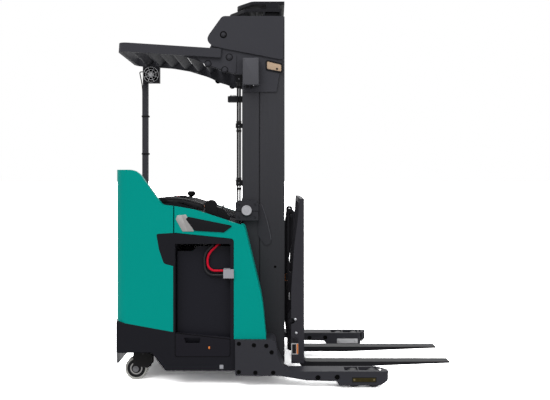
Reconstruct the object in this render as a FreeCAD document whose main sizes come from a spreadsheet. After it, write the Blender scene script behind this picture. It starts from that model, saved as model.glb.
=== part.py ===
"""Stand-up reach truck: three-stage mast, scissor reach carriage, straddle legs.

Millimetres.  +X is the way the forks point, +Y is the truck's left, +Z is up.
The origin is on the floor, midway between the rearmost point and the fork tips.
"""
import FreeCAD, Part
import math
import os
import Sketcher
from FreeCAD import Placement, Rotation, Vector

DOC = FreeCAD.newDocument("reach_truck")
SHEET = DOC.addObject("Spreadsheet::Sheet", "Dims")
TURN_TO = {"X": Rotation(Vector(0, 1, 0), 90), "Y": Rotation(Vector(1, 0, 0), -90), "Z": Rotation()}


# ------------------------------------------------------------------ sizes
class Size:
    """A length or angle: its number, and the formula on sheet cells that the document keeps."""

    def __init__(self, number, formula):
        self.number = float(number)
        self.formula = formula

    def _join(self, other, sign, number):
        return Size(number, "(%s %s %s)" % (self.formula, sign, as_size(other).formula))

    def __add__(self, other):
        return self._join(other, "+", self.number + as_size(other).number)

    def __sub__(self, other):
        return self._join(other, "-", self.number - as_size(other).number)

    def __mul__(self, other):
        return self._join(other, "*", self.number * as_size(other).number)

    def __truediv__(self, other):
        return self._join(other, "/", self.number / as_size(other).number)

    def __radd__(self, other):
        return as_size(other) + self

    def __rsub__(self, other):
        return as_size(other) - self

    def __rmul__(self, other):
        return as_size(other) * self

    def __neg__(self):
        return as_size(0) - self


def as_size(value):
    """A Size from a Size or a plain number."""
    if isinstance(value, Size):
        return value
    return Size(value, repr(float(value)))


CELLS = {}


def cell(name, number):
    """Write one driving dimension into the sheet under its own alias."""
    address = "B%d" % (len(CELLS) + 1)
    SHEET.set("A%d" % (len(CELLS) + 1), name)
    SHEET.set(address, str(number))
    SHEET.setAlias(address, name)
    CELLS[name] = Size(number, "Dims." + name)
    return CELLS[name]


# Whole truck
fork_length = cell("fork_length", 1067)
head_length = cell("head_length", 1333)
body_width = cell("body_width", 1219)
leg_span = cell("leg_span", 1270)
leg_width = cell("leg_width", 135)
guard_top = cell("guard_top", 2390)
mast_top = cell("mast_top", 2578)
running_gap = cell("running_gap", 6)
seat_gap = cell("seat_gap", 0.3)

# Body
guard_overhang = cell("guard_overhang", 20)
wall_top = cell("wall_top", 1487)
shoulder_height = cell("shoulder_height", 1246)
nose_height = cell("nose_height", 1102)
panel_thickness = cell("panel_thickness", 30)
wall_thickness = cell("wall_thickness", 45)
plate = cell("plate", 20)
bulkhead = cell("bulkhead", 12)
skirt_bottom = cell("skirt_bottom", 115)
floor_height = cell("floor_height", 250)
wheel_arch_top = cell("wheel_arch_top", 240)
compartment_depth = cell("compartment_depth", 396)
tail_sill = cell("tail_sill", 35)
bay_length = cell("bay_length", 400)
bay_floor = cell("bay_floor", 200)
bay_top = cell("bay_top", 980)
bay_to_mast = cell("bay_to_mast", 49)
corner_radius = cell("corner_radius", 105)
battery_height = cell("battery_height", 760)
seam_gap = cell("seam_gap", 8)

# Wheels
load_wheel_diameter = cell("load_wheel_diameter", 114)
load_wheel_width = cell("load_wheel_width", 76)
load_wheel_gap = cell("load_wheel_gap", 20)
caster_diameter = cell("caster_diameter", 160)
caster_trail = cell("caster_trail", 50)
drive_wheel_diameter = cell("drive_wheel_diameter", 330)
drive_wheel_width = cell("drive_wheel_width", 120)

# Mast
mast_width = cell("mast_width", 840)
mast_gap = cell("mast_gap", 146)
rail_depth = cell("rail_depth", 174)
column_depth = cell("column_depth", 128)
column_width = cell("column_width", 90)
web = cell("web", 16)
rail_foot = cell("rail_foot", 118)
middle_web = cell("middle_web", 14)
inner_web = cell("inner_web", 12)
lift_cylinder_radius = cell("lift_cylinder_radius", 38)
lift_rod_radius = cell("lift_rod_radius", 24)

# Scissor and forks
arm_length = cell("arm_length", 900)
arm_width = cell("arm_width", 70)
arm_thickness = cell("arm_thickness", 22)
scissor_foot = cell("scissor_foot", 260)
backrest_width = cell("backrest_width", 920)
backrest_top = cell("backrest_top", 1283)
fork_spacing = cell("fork_spacing", 434)
fork_width = cell("fork_width", 100)
fork_thickness = cell("fork_thickness", 38)
fork_top = cell("fork_top", 84)

# Stations along the truck
x_rear = -(head_length + fork_length) / 2
x_face = x_rear + head_length
x_tip = x_face + fork_length
x_body = x_rear + guard_overhang
x_bay_rear = x_body + compartment_depth + plate
x_bay_front = x_bay_rear + bay_length
x_column = x_bay_front + bay_to_mast
x_rail = x_column + column_depth
x_mast = x_rail + rail_depth
half_body = body_width / 2
half_mast = mast_width / 2
half_span = leg_span / 2
leg_inner = half_span - leg_width


# ------------------------------------------------------------------ building blocks
def bind(thing, prop, value):
    """Bind a property to a Size's formula."""
    thing.setExpression(prop, as_size(value).formula)


def place(thing, x, y, z, axis="Z"):
    """Stand a primitive at (x, y, z) with its own Z axis turned to the named axis."""
    numbers = [as_size(v).number for v in (x, y, z)]
    thing.Placement = Placement(Vector(*numbers), TURN_TO[axis])
    for letter, value in zip("xyz", (x, y, z)):
        bind(thing, "Placement.Base." + letter, value)


def box(x0, x1, y0, y1, z0, z1):
    """A block between two corners."""
    thing = DOC.addObject("Part::Box", "block")
    for prop, low, high in (("Length", x0, x1), ("Width", y0, y1), ("Height", z0, z1)):
        bind(thing, prop, as_size(high) - low)
    place(thing, x0, y0, z0)
    return thing


def rod(axis, x, y, z, radius, length):
    """A round bar that starts at (x, y, z) and runs along the axis."""
    thing = DOC.addObject("Part::Cylinder", "round_bar")
    bind(thing, "Radius", radius)
    bind(thing, "Height", length)
    place(thing, x, y, z, axis)
    return thing


def fuse(*parts):
    """Parts welded into one."""
    thing = DOC.addObject("Part::MultiFuse", "weldment")
    thing.Shapes = list(parts)
    thing.Refine = True
    return thing


def group(*parts):
    """Separate solids kept as one item."""
    thing = DOC.addObject("Part::Compound", "set")
    thing.Links = list(parts)
    return thing


def cut(base, *tools):
    """The base with the tools taken away."""
    thing = DOC.addObject("Part::Cut", "cut_piece")
    thing.Base = base
    thing.Tool = tools[0] if len(tools) == 1 else fuse(*tools)
    thing.Refine = True
    return thing


def common(first, second):
    """What two forms share."""
    thing = DOC.addObject("Part::Common", "shared_piece")
    thing.Base = first
    thing.Tool = second
    thing.Refine = True
    return thing


def origin_plane(body, role):
    """One of a body's own origin planes."""
    return [item for item in body.Origin.OriginFeatures if item.Role == role][0]


def corner_arc(before, corner, after, radius):
    """Start, middle and end of the arc that rounds a corner."""
    back = (before - corner).normalize()
    ahead = (after - corner).normalize()
    half_angle = back.getAngle(ahead) / 2
    reach = radius / math.tan(half_angle)
    inward = (back + ahead).normalize()
    middle = corner + inward * (radius / math.sin(half_angle) - radius)
    return corner + back * reach, middle, corner + ahead * reach


def pin_point(sketch, index, end, x, y):
    """Fix one sketch point by two bound distances from the origin."""
    for kind, value in (("DistanceX", as_size(x)), ("DistanceY", as_size(y))):
        place_held = sketch.addConstraint(Sketcher.Constraint(kind, -1, 1, index, end, value.number))
        sketch.setExpression("Constraints[%d]" % place_held, value.formula)


def draw_outline(sketch, corners):
    """A closed outline of corners (x, y) or (x, y, radius)."""
    spots = [Vector(as_size(c[0]).number, as_size(c[1]).number, 0) for c in corners]
    count = len(corners)
    arcs = {}
    for i, corner in enumerate(corners):
        if len(corner) == 3:
            arcs[i] = corner_arc(spots[i - 1], spots[i], spots[(i + 1) % count], as_size(corner[2]).number)
    lines = []
    for i in range(count):
        after = (i + 1) % count
        start = Vector(arcs[i][2]) if i in arcs else spots[i]
        end = Vector(arcs[after][0]) if after in arcs else spots[after]
        lines.append(sketch.addGeometry(Part.LineSegment(start, end), False))
    for i, corner in enumerate(corners):
        before, after = lines[i - 1], lines[i]
        if i not in arcs:
            sketch.addConstraint(Sketcher.Constraint("Coincident", before, 2, after, 1))
            pin_point(sketch, after, 1, corner[0], corner[1])
            continue
        bend = sketch.addGeometry(Part.Arc(*arcs[i]), False)
        first, second = (1, 2)
        if sketch.getPoint(bend, 1).distanceToPoint(arcs[i][0]) > 1e-6:
            first, second = (2, 1)
        peak = sketch.addGeometry(Part.Point(spots[i]), True)
        sketch.addConstraint(Sketcher.Constraint("Tangent", before, 2, bend, first))
        sketch.addConstraint(Sketcher.Constraint("Tangent", bend, second, after, 1))
        sketch.addConstraint(Sketcher.Constraint("PointOnObject", peak, 1, before))
        sketch.addConstraint(Sketcher.Constraint("PointOnObject", peak, 1, after))
        radius = as_size(corner[2])
        size_held = sketch.addConstraint(Sketcher.Constraint("Radius", bend, radius.number))
        sketch.setExpression("Constraints[%d]" % size_held, radius.formula)
        pin_point(sketch, peak, 1, corner[0], corner[1])


def draw_circle(sketch, x, y, radius):
    """A hole or boss outline."""
    centre = Vector(as_size(x).number, as_size(y).number, 0)
    size = as_size(radius)
    ring = sketch.addGeometry(Part.Circle(centre, Vector(0, 0, 1), size.number), False)
    held = sketch.addConstraint(Sketcher.Constraint("Radius", ring, size.number))
    sketch.setExpression("Constraints[%d]" % held, size.formula)
    pin_point(sketch, ring, 3, x, y)


def new_sketch(body, role, offset=0):
    """A sketch on one of the body's origin planes, moved along that plane's normal."""
    sketch = body.newObject("Sketcher::SketchObject", "outline")
    sketch.AttachmentSupport = [(origin_plane(body, role), "")]
    sketch.MapMode = "FlatFace"
    bind(sketch, "AttachmentOffset.Base.z", offset)
    return sketch


def prism(view, start, end, outline, holes=(), windows=()):
    """A flat outline carried from start to end along the view's axis.

    side: corners are (x, z), carried along Y.  plan: (x, y), along Z.  front: (y, z), along X.
    holes are (x, y, radius); windows are outlines.
    """
    role, offset = {"side": ("XZ_Plane", -as_size(end)), "plan": ("XY_Plane", start),
                    "front": ("YZ_Plane", start)}[view]
    body = DOC.addObject("PartDesign::Body", "Body")
    sketch = new_sketch(body, role, offset)
    draw_outline(sketch, outline)
    for hole in holes:
        draw_circle(sketch, *hole)
    for window in windows:
        draw_outline(sketch, window)
    pad = body.newObject("PartDesign::Pad", "Pad")
    pad.Profile = sketch
    bind(pad, "Length", as_size(end) - start)
    return body


def turned(axis, x, y, z, outline):
    """A ring or disc of revolution: corners are (radius, distance along the axis)."""
    body = DOC.addObject("PartDesign::Body", "Body")
    sketch = new_sketch(body, "XZ_Plane")
    draw_outline(sketch, outline)
    lathe = body.newObject("PartDesign::Revolution", "Revolution")
    lathe.Profile = sketch
    lathe.ReferenceAxis = (sketch, ["V_Axis"])
    lathe.Angle = 360
    place(body, x, y, z, axis)
    return body


def cord(route, radius):
    """A round lead along straight runs joined by tangent arcs, each as large as its runs allow."""
    spots = [Vector(*[as_size(v).number for v in spot]) for spot in route]
    here = spots[0]
    edges = []
    for before, corner, after in zip(spots, spots[1:], spots[2:]):
        back, ahead = before - corner, after - corner
        half_turn = (math.pi - back.getAngle(ahead)) / 2
        bend = 0.45 * min(back.Length, ahead.Length) / math.tan(half_turn)
        start, middle, end = corner_arc(before, corner, after, bend)
        edges += [Part.LineSegment(here, start).toShape(), Part.Arc(start, middle, end).toShape()]
        here = end
    edges.append(Part.LineSegment(here, spots[-1]).toShape())
    ring = Part.Wire(Part.makeCircle(as_size(radius).number, spots[0], spots[1] - spots[0]))
    thing = DOC.addObject("Part::Feature", "lead")
    thing.Shape = Part.Wire(edges).makePipeShell([ring], True, True)
    return thing


NODES = []


def along(x, x0, z0, x1, z1):
    """Height at x on the line from (x0, z0) to (x1, z1)."""
    return as_size(z0) + (as_size(x) - x0) * (as_size(z1) - z0) / (as_size(x1) - x0)


def node(name, thing):
    """Name a finished sub-part."""
    thing.Label = name
    NODES.append(thing)
    return thing


def both(side, low, high):
    """Lower and upper Y of a piece whose right-hand twin is mirrored: side is -1 right, 1 left."""
    if side > 0:
        return as_size(low), as_size(high)
    return -as_size(high), -as_size(low)


def mirrored(corners, side):
    """An outline in plan, drawn for the left and flipped for the right."""
    return [(c[0], as_size(c[1]) * side) + tuple(c[2:]) for c in corners]


# ------------------------------------------------------------------ truck body
skirt_plate = cell("skirt_plate", 25)
arch_front = cell("arch_front", 351)
arch_slope = cell("arch_slope", 96)
panel_foot_rear = cell("panel_foot_rear", 452)
panel_foot_front = cell("panel_foot_front", 379)
gate_foot = cell("gate_foot", 210)
gate_rear_height = cell("gate_rear_height", 374)
gate_front_height = cell("gate_front_height", 341)
gate_thickness = cell("gate_thickness", 18)
drive_bay_width = cell("drive_bay_width", 480)
drive_cover_top = cell("drive_cover_top", 1100)
wall_return = cell("wall_return", 180)
post_width = cell("post_width", 22)
housing_top = cell("housing_top", 330)
hip_height = cell("hip_height", 829)
trim_peak = cell("trim_peak", 1055)
hip_toe = cell("hip_toe", 340)
hip_knee = cell("hip_knee", 308)
hip_head = cell("hip_head", 288)
nose_slope = cell("nose_slope", 122)
nose_bend = cell("nose_bend", 600)
dash_length = cell("dash_length", 157)

x_bulkhead = x_bay_rear - bulkhead
x_seam = x_bulkhead - seat_gap
x_post = x_bay_front - post_width
x_housing = x_bay_front + bulkhead
x_nose = x_column + 25
x_panel_foot = x_column + 173
x_dash = x_seam + dash_length
y_drive_bay = half_body - drive_bay_width
inner_half = half_body - skirt_plate
inner_panel = half_body - panel_thickness
inner_wall = half_body - wall_thickness
hood_rear = shoulder_height - 36
hood_front = nose_height + 8
x_hood_front = x_nose - 34
dash_top = shoulder_height + 14


def foot_line(x):
    """Height of the seam between skirt and panels, falling towards the front."""
    return along(x, x_body, panel_foot_rear, x_seam, panel_foot_front)


def hood_line(x):
    """Height of the hood's top over the battery."""
    return along(x, x_dash, hood_rear, x_hood_front, hood_front)


def bulkhead_outline(full_top, narrow_half):
    """Bulkhead as wide as the body up to full_top, and narrower above."""
    outline = []
    for side in (1, -1):
        corners = [(half_body * side, skirt_bottom), (half_body * side, full_top),
                   (as_size(narrow_half) * side, full_top), (as_size(narrow_half) * side, bay_top)]
        outline += corners if side > 0 else corners[::-1]
    return outline


def main_frame():
    """Welded chassis: skirts with wheel arches, floor, bulkheads and battery tray."""
    x_tail = x_body + 15
    skirt_rear = [(x_tail, wheel_arch_top), (x_tail, foot_line(x_tail) - seat_gap),
                  (x_bulkhead, foot_line(x_bulkhead) - seat_gap), (x_bulkhead, skirt_bottom),
                  (x_body + arch_front, skirt_bottom, 12),
                  (x_body + arch_front - arch_slope, wheel_arch_top, 20)]
    skirt_front = [(x_bay_rear, skirt_bottom), (x_bay_rear, gate_foot - seat_gap), (x_post, gate_foot - seat_gap),
                   (x_post, housing_top + 5), (x_bay_front, housing_top + 5), (x_bay_front, skirt_bottom)]
    pieces = []
    for side in (-1, 1):
        low, high = both(side, inner_half, half_body)
        pieces.append(prism("side", low, high, skirt_rear))
        pieces.append(prism("side", low, high, skirt_front))
    tail_half = half_body - corner_radius
    x_floor = x_body + plate
    pieces.append(box(x_body + 5, x_floor, y_drive_bay, tail_half, skirt_bottom, floor_height))
    pieces.append(box(x_body + 5, x_floor, -tail_half, y_drive_bay, floor_height - tail_sill, floor_height))
    pieces.append(box(x_floor, x_bulkhead, -inner_half, y_drive_bay, floor_height - plate, floor_height))
    drive_wall = [(x_floor, floor_height - plate), (x_floor, foot_line(x_floor) - seat_gap),
                  (x_bulkhead, foot_line(x_bulkhead) - seat_gap), (x_bulkhead, floor_height - plate)]
    pieces.append(prism("side", y_drive_bay, y_drive_bay + bulkhead, drive_wall))
    rear_width = bulkhead_outline(hip_height - seat_gap, inner_panel - seat_gap)
    pieces.append(prism("front", x_bulkhead, x_bay_rear, rear_width))
    front_width = bulkhead_outline(housing_top, inner_panel - seat_gap)
    pieces.append(prism("front", x_bay_front, x_housing, front_width))
    pieces.append(box(x_bay_rear, x_bay_front, -inner_half, inner_half, bay_floor - plate, bay_floor))
    pieces.append(box(x_housing, x_column, -half_mast, half_mast, skirt_bottom + 10, housing_top))
    y = -caster_y
    swivel_seat = box(x_caster - 70, x_caster + 70, y - 70, y + 70, floor_height - 50, floor_height - plate)
    frame = cut(fuse(*pieces, swivel_seat),
                rod("Z", x_caster, y, floor_height - 60, swivel_pin_radius + bore_clearance, 40))
    return node("main_frame", frame)


def rear_bumper():
    """Steel plate across the tail, tall at both corners and low at the step."""
    half = half_body - 100
    step = floor_height - 2
    top = panel_foot_rear - 10
    foot = skirt_bottom + 20
    outline = [(-half, foot, 20), (half, foot, 20), (half, top, 10), (y_drive_bay, top, 10),
               (y_drive_bay, step, 30), (80 - half, step, 30), (80 - half, top, 10), (-half, top, 10)]
    return node("rear_bumper", prism("front", x_body - 8, x_body + 5, outline))


def hip_outline():
    """Rear edge of the battery opening's surround, from the seam's foot up to its peak."""
    return [(x_seam, hip_height), (x_body + hip_toe, hip_height + 16, 30), (x_body + hip_knee, hip_height + 110, 60),
            (x_body + hip_head, trim_peak - 7, 12), (x_seam, trim_peak)]


def right_rear_panel():
    """Tall operator wall on the right, wrapped round the rear corner."""
    slope_top = x_body + 156
    slope_foot = x_body + 330
    outline = [(x_body, panel_foot_rear), (x_seam, panel_foot_front)] + hip_outline() + [
        (x_seam, shoulder_height - 7), (slope_foot, shoulder_height, 40), (slope_top, wall_top, 110),
        (x_body, wall_top)]
    outer = -half_body
    inner = -inner_wall
    end = outer + wall_return
    inner_radius = corner_radius - wall_thickness
    plan = [(x_seam + 5, outer), (x_seam + 5, inner), (x_body + wall_thickness, inner, inner_radius),
            (x_body + wall_thickness, end), (x_body, end), (x_body, outer, corner_radius)]
    face = prism("side", outer, end, outline)
    return node("right_rear_panel", common(face, prism("plan", 300, wall_top + 50, plan)))


def drive_cover():
    """Left rear housing over the drive unit, open below and at the bulkhead."""
    top = drive_cover_top
    outline = [(x_body, panel_foot_rear), (x_seam, panel_foot_front), (x_seam, top, 20), (x_body, top, 12)]
    plan = [(x_seam + 5, y_drive_bay), (x_seam + 5, half_body), (x_body, half_body, corner_radius),
            (x_body, y_drive_bay, 20)]
    shell = common(prism("side", y_drive_bay, half_body, outline), prism("plan", 300, top + 50, plan))
    hollow = box(x_body + panel_thickness, x_seam + 10, y_drive_bay + panel_thickness,
                 inner_panel, 250, top - panel_thickness)
    edge = hip_outline()
    notch = prism("side", inner_panel - 1, half_body + 1, [(x_seam + 10, hip_height)] + edge + [(x_seam + 10, trim_peak)])
    return node("drive_cover", cut(shell, hollow, notch))


def front_panel(side):
    """Panel over the front of the battery bay with its sloping nose."""
    x_start = x_seam + seam_gap
    outline = [(x_start, trim_peak + 2), (x_start, shoulder_height - 8),
               (x_dash, shoulder_height - 34, 600), (x_nose, nose_height, 25),
               (x_nose + nose_slope, nose_bend, 1200), (x_panel_foot, housing_top + seat_gap),
               (x_bay_front + 2, housing_top + seat_gap), (x_bay_front + 2, trim_peak - 53),
               (x_bay_front - 12, trim_peak - 38)]
    wall = 26
    hollow = [(x_seam - 20, 250), (x_seam - 20, 1400), (x_nose - wall, 1400), (x_nose - wall, nose_height),
              (x_nose + nose_slope - wall, nose_bend), (x_panel_foot - wall, 250)]
    low, high = both(side, half_mast + 12, half_body)
    gone_low, gone_high = both(side, half_mast + 2, inner_panel)
    return cut(prism("side", low, high, outline), prism("side", gone_low, gone_high, hollow))


def front_panels():
    """The two nose panels, left and right of the mast."""
    return node("front_panels", group(front_panel(-1), front_panel(1)))


def bay_trims():
    """Dark surrounds of the two battery openings."""
    gap = 0.5
    x_front = x_bay_front
    outline = [(x_bay_rear, hip_height + gap), (x_seam, hip_height + gap),
               (x_body + hip_toe + gap, hip_height + 16 + gap, 30), (x_body + hip_knee + gap, hip_height + 110, 60),
               (x_body + hip_head + gap, trim_peak - 7 - gap, 12),
               (x_seam, trim_peak - gap), (x_bay_front - 12, trim_peak - 40), (x_front, trim_peak - 55),
               (x_front, housing_top + 5 + seat_gap), (x_post, housing_top + 5 + seat_gap), (x_post, bay_top),
               (x_bay_rear, bay_top)]
    sides = []
    for side in (-1, 1):
        low, high = both(side, inner_panel, half_body)
        sides.append(prism("side", low, high, outline))
    return node("bay_trims", group(*sides))


def battery_gates():
    """Lift-out plates that keep the battery in, each with a hand slot."""
    rear = x_bay_rear + 1
    front = x_post - 1
    outline = [(rear, gate_foot, 8), (front, gate_foot, 8), (front, gate_front_height, 6),
               (rear, gate_rear_height, 6)]
    slot = [(rear + 71, 302, 6), (rear + 165, 302, 6), (rear + 175, 340, 6), (rear + 61, 340, 6)]
    sides = []
    for side in (-1, 1):
        low, high = both(side, half_body - gate_thickness, half_body)
        sides.append(prism("side", low, high, outline, windows=[slot]))
    return node("battery_gates", group(*sides))


battery_slack = cell("battery_slack", 8)
battery_half = half_body - 60


def battery():
    """Traction battery: a steel case with a recessed cell top."""
    rear = x_bay_rear + battery_slack
    front = x_bay_front - battery_slack
    rim = 12
    top = bay_floor + battery_height
    step = rear + 106
    case = prism("side", -battery_half, battery_half,
                 [(rear, bay_floor), (front, bay_floor), (front, top), (step + 32, top), (step, top - 34), (rear, top - 34)])
    well = box(rear + rim, front - rim, rim - battery_half, battery_half - rim, top - 40, top + 10)
    return node("battery", cut(case, well))


def hood():
    """Sloping cover from the console to the mast, over the pump and controller bay."""
    skin = 26
    x_start = x_seam + 136
    outline = [(x_start, hood_line(x_start)), (x_hood_front, hood_front), (x_hood_front, bay_top),
               (x_hood_front - skin, bay_top), (x_hood_front - skin, hood_front - skin + 8),
               (x_start, hood_line(x_start) - skin)]
    return node("hood", prism("side", -inner_panel, inner_panel, outline))


def console():
    """Dash in front of the operator, standing on the bulkhead."""
    x_front = x_seam + 131
    outline = [(x_bulkhead, bay_top), (x_bay_rear, bay_top), (x_bay_rear, shoulder_height - 40),
               (x_front, shoulder_height - 36), (x_front, shoulder_height - 20, 8),
               (x_seam + 20, dash_top, 60), (x_seam - 120, dash_top, 20),
               (x_seam - 100, shoulder_height - 60, 40), (x_bulkhead, shoulder_height - 130)]
    return node("console", prism("side", seat_gap - inner_wall, inner_wall, outline))


def floor_mat():
    """Rubber mat on the operator's floor."""
    margin = 12
    return node("floor_mat", box(x_body + plate + margin, x_bulkhead - margin, -inner_wall,
                                 y_drive_bay - margin, floor_height, floor_height + 8))


def operator_pads():
    """Padded arm rest on the dash, and the lean pad on the right wall."""
    inner = seat_gap - inner_wall
    base = dash_top + seat_gap
    front = x_seam + 205
    heel = x_seam + 148
    rest = [(x_seam - 128, base, 8), (x_seam + 24, base, 40), (heel - 8, base - 34), (heel, hood_line(heel) + 3),
            (front, hood_line(front) + 3, 8), (front, base - 6, 12), (x_seam + 60, base + 30, 120),
            (x_seam - 128, base + 40, 14)]
    arm_rest = prism("side", inner + 8, inner + 78, rest)
    x_back = x_body + corner_radius
    lean = [(x_back, 760, 40), (x_back + 200, 760, 40), (x_back + 200, 1080, 60), (x_back + 90, 1400, 50),
            (x_back, 1400, 30)]
    return node("operator_pads", group(arm_rest, prism("side", inner, inner + 40, lean)))


# ------------------------------------------------------------------ wheels
axle_radius = cell("axle_radius", 12)
bore_clearance = cell("bore_clearance", 0.05)
swivel_pin_radius = cell("swivel_pin_radius", 15)
load_axle_front = cell("load_axle_front", 103)
leg_reach = cell("leg_reach", 562)
caster_x = cell("caster_x", 165)
caster_y = cell("caster_y", 395)
caster_width = cell("caster_width", 60)
drive_x = cell("drive_x", 208)
drive_y = cell("drive_y", 370)
drive_hub_radius = cell("drive_hub_radius", 20)

x_tip_leg = x_face + leg_reach
load_wheel_pitch = load_wheel_diameter + load_wheel_gap
x_load = [x_tip_leg - load_axle_front - load_wheel_pitch, x_tip_leg - load_axle_front]
wheel_well = load_wheel_width / 2 + 4
y_load = half_span - leg_width / 2 - 5
x_caster = x_body + caster_x
x_drive = x_body + drive_x


def wheel(name, x, y, diameter, width, bore):
    """A plain wheel with bevelled tread edges, its axle along Y."""
    radius = diameter / 2
    bevel = 4
    outline = [(bore, 0), (radius - bevel, 0), (radius, bevel), (radius, width - bevel), (radius - bevel, width),
               (bore, width)]
    return node(name, turned("Y", x, as_size(y) - width / 2, radius, outline))


def load_wheels():
    """Two wheels in line in each straddle leg."""
    for side, word in ((-1, "right"), (1, "left")):
        for place_word, x in zip(("rear", "front"), x_load):
            wheel("%s_%s_load_wheel" % (word, place_word), x, y_load * side, load_wheel_diameter,
                  load_wheel_width, axle_radius + bore_clearance)


def caster():
    """Swivelling rear support wheel: fork with two cheeks, stem and wheel."""
    centre = caster_diameter / 2
    y = -caster_y
    x_wheel = x_caster - caster_trail
    gap = caster_width / 2 + 5
    cheek_thickness = 8
    reach = gap + cheek_thickness
    crown = caster_diameter + 12
    seat = floor_height - 50
    pieces = [rod("Z", x_caster, y, crown, 48, seat - seat_gap - crown),
              box(x_wheel - 10, x_wheel + 100, y - reach, y + reach, crown, crown + 12)]
    cheek = [(x_wheel + along_x, centre + up, bend) for along_x, up, bend in
             ((-20, 112, 8), (85, 112, 10), (112, 98, 20), (112, 22, 20), (84, 6, 12), (30, 14, 10), (18, -16, 14),
              (-18, -16, 14), (-20, 40, 10))]
    for side in (-1, 1):
        low, high = both(side, gap, reach)
        pieces.append(prism("side", y + low, y + high, cheek))
    pieces.append(rod("Y", x_wheel, y - reach - 4, centre, axle_radius, 2 * (reach + 4)))
    pieces.append(rod("Z", x_caster, y, crown + 12, swivel_pin_radius, floor_height - plate - 4 - crown - 12))
    node("caster_fork", fuse(*pieces))
    wheel("caster_wheel", x_wheel, y, caster_diameter, caster_width, axle_radius + bore_clearance)


def drive_unit():
    """Drive motor on its plate, steered gear case and driven wheel at the left rear."""
    radius = drive_wheel_diameter / 2
    half = drive_wheel_width / 2
    ring_low = drive_wheel_diameter + 8
    deck = ring_low + 22
    deck_top = deck + 14
    motor_height = 300
    node("drive_motor", fuse(rod("Z", x_drive, drive_y, deck, 105, motor_height + 14),
                             box(x_body + plate, x_bulkhead, y_drive_bay + bulkhead, inner_half, deck, deck_top)))
    ring = rod("Z", x_drive, drive_y, ring_low, 130, deck - seat_gap - ring_low)
    case = box(x_drive - 45, x_drive + 45, drive_y + half + 6, drive_y + half + 46, radius - 50, ring_low + 10)
    hub = rod("Y", x_drive, drive_y - half, radius, drive_hub_radius, drive_wheel_width + 10)
    node("steer_gear_case", fuse(ring, case, hub))
    wheel("drive_wheel", x_drive, drive_y, drive_wheel_diameter, drive_wheel_width,
          drive_hub_radius + bore_clearance)


# ------------------------------------------------------------------ straddle legs
leg_cover = cell("leg_cover", 3)
leg_skin = cell("leg_skin", 8)
leg_bolt_radius = cell("leg_bolt_radius", 15)
leg_bolt_depth = cell("leg_bolt_depth", 12)
leg_bottom = cell("leg_bottom", 51)
housing_foot = cell("housing_foot", 87)
box_bottom = cell("box_bottom", 22)
crease = cell("crease", 212)
housing_inner = half_mast + seat_gap
leg_top = load_wheel_diameter + leg_cover
x_crease = x_face - crease
leg_bolts = [(x_housing + 26, 304), (x_housing + 128, 294), (x_crease - 61, 290), (x_crease - 25, 246),
             (x_crease - 14, 108), (x_crease - 135, 108), (x_housing + 25, 112)]


def base_leg(side):
    """Straddle leg: a bolted housing beside the mast, a low arm, a two-wheel box and its axles."""
    x_root = x_crease + 30
    x_join = x_crease + 130
    housing = [(x_housing, housing_foot, 12), (x_root, housing_foot, 80),
               (x_join, along(x_join, x_root, housing_foot, x_face, leg_bottom + 5)), (x_join, leg_top),
               (x_crease + 70, leg_top, 60),
               (x_crease + 14, 225, 60), (x_crease, housing_top, 40), (x_housing, housing_top)]
    arm = [(x_join - 70, along(x_join - 70, x_root, housing_foot, x_face, leg_bottom + 5)),
           (x_face, leg_bottom + 5), (x_tip_leg - 360, leg_bottom, 10), (x_tip_leg - 340, box_bottom, 10),
           (x_tip_leg - 60, box_bottom, 20), (x_tip_leg, 60, 30), (x_tip_leg, leg_top, 12), (x_join - 70, leg_top)]
    low, high = both(side, housing_inner, half_span)
    block = prism("side", low, high, housing)
    low, high = both(side, housing_inner - 10, leg_inner)
    shoulder = box(x_join - 70, x_join + 10, low, high, leg_bottom - 10, leg_top + 200)
    low, high = both(side, leg_inner, half_span)
    limb = prism("side", low, high, arm, holes=[(x_face + 78, 74, 18), (x_face + 209, 77, 18)])
    toe = [(x_join - 80, leg_inner), (x_tip_leg - 70, leg_inner, 40), (x_tip_leg - 8, leg_inner + 80, 50),
           (x_tip_leg, half_span, 25), (x_join - 80, half_span)]
    limb = common(limb, prism("plan", 0, leg_top + 50, mirrored(toe, side)))
    radius = load_wheel_diameter / 2
    low, high = both(side, y_load - wheel_well, y_load + wheel_well)
    reach = radius + 6
    gone = [box(x_load[0] - reach, x_load[1] + reach, low, high, 0, leg_top - leg_skin),
            box(x_load[0] - reach, x_load[0] + radius / 2, low, high, 0, leg_top + 20),
            box(x_load[1] - reach - 35, x_load[1] + radius / 2, low, high, 0, leg_top + 20)]
    low, high = both(side, y_load - 20, y_load + wheel_well)
    gone.append(box(x_load[1] + 40, x_load[1] + 60, low, high, 60, leg_top + 20))
    low, high = both(side, half_span - leg_bolt_depth, half_span + 1)
    for x, z in leg_bolts:
        gone.append(rod("Y", x, low, z, leg_bolt_radius, high - low))
    low, high = both(side, y_load - wheel_well - 5, y_load + wheel_well + 5)
    axles = [rod("Y", x, low, radius, axle_radius, high - low) for x in x_load]
    return fuse(cut(fuse(cut(block, shoulder), limb), *gone), *axles)


def base_legs():
    """Both straddle legs."""
    return node("base_legs", group(base_leg(-1), base_leg(1)))


# ------------------------------------------------------------------ mast
flange = cell("flange", 70)
middle_flange = cell("middle_flange", 13)
inner_flange = cell("inner_flange", 12)
crosshead_rise = cell("crosshead_rise", 24)
tube_wall = cell("tube_wall", 10)
foot_plate = cell("foot_plate", 14)
lift_cylinder_inset = cell("lift_cylinder_inset", 150)
stage_step = cell("stage_step", 60)
groove_width = cell("groove_width", 8)
groove_depth = cell("groove_depth", 10)

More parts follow.
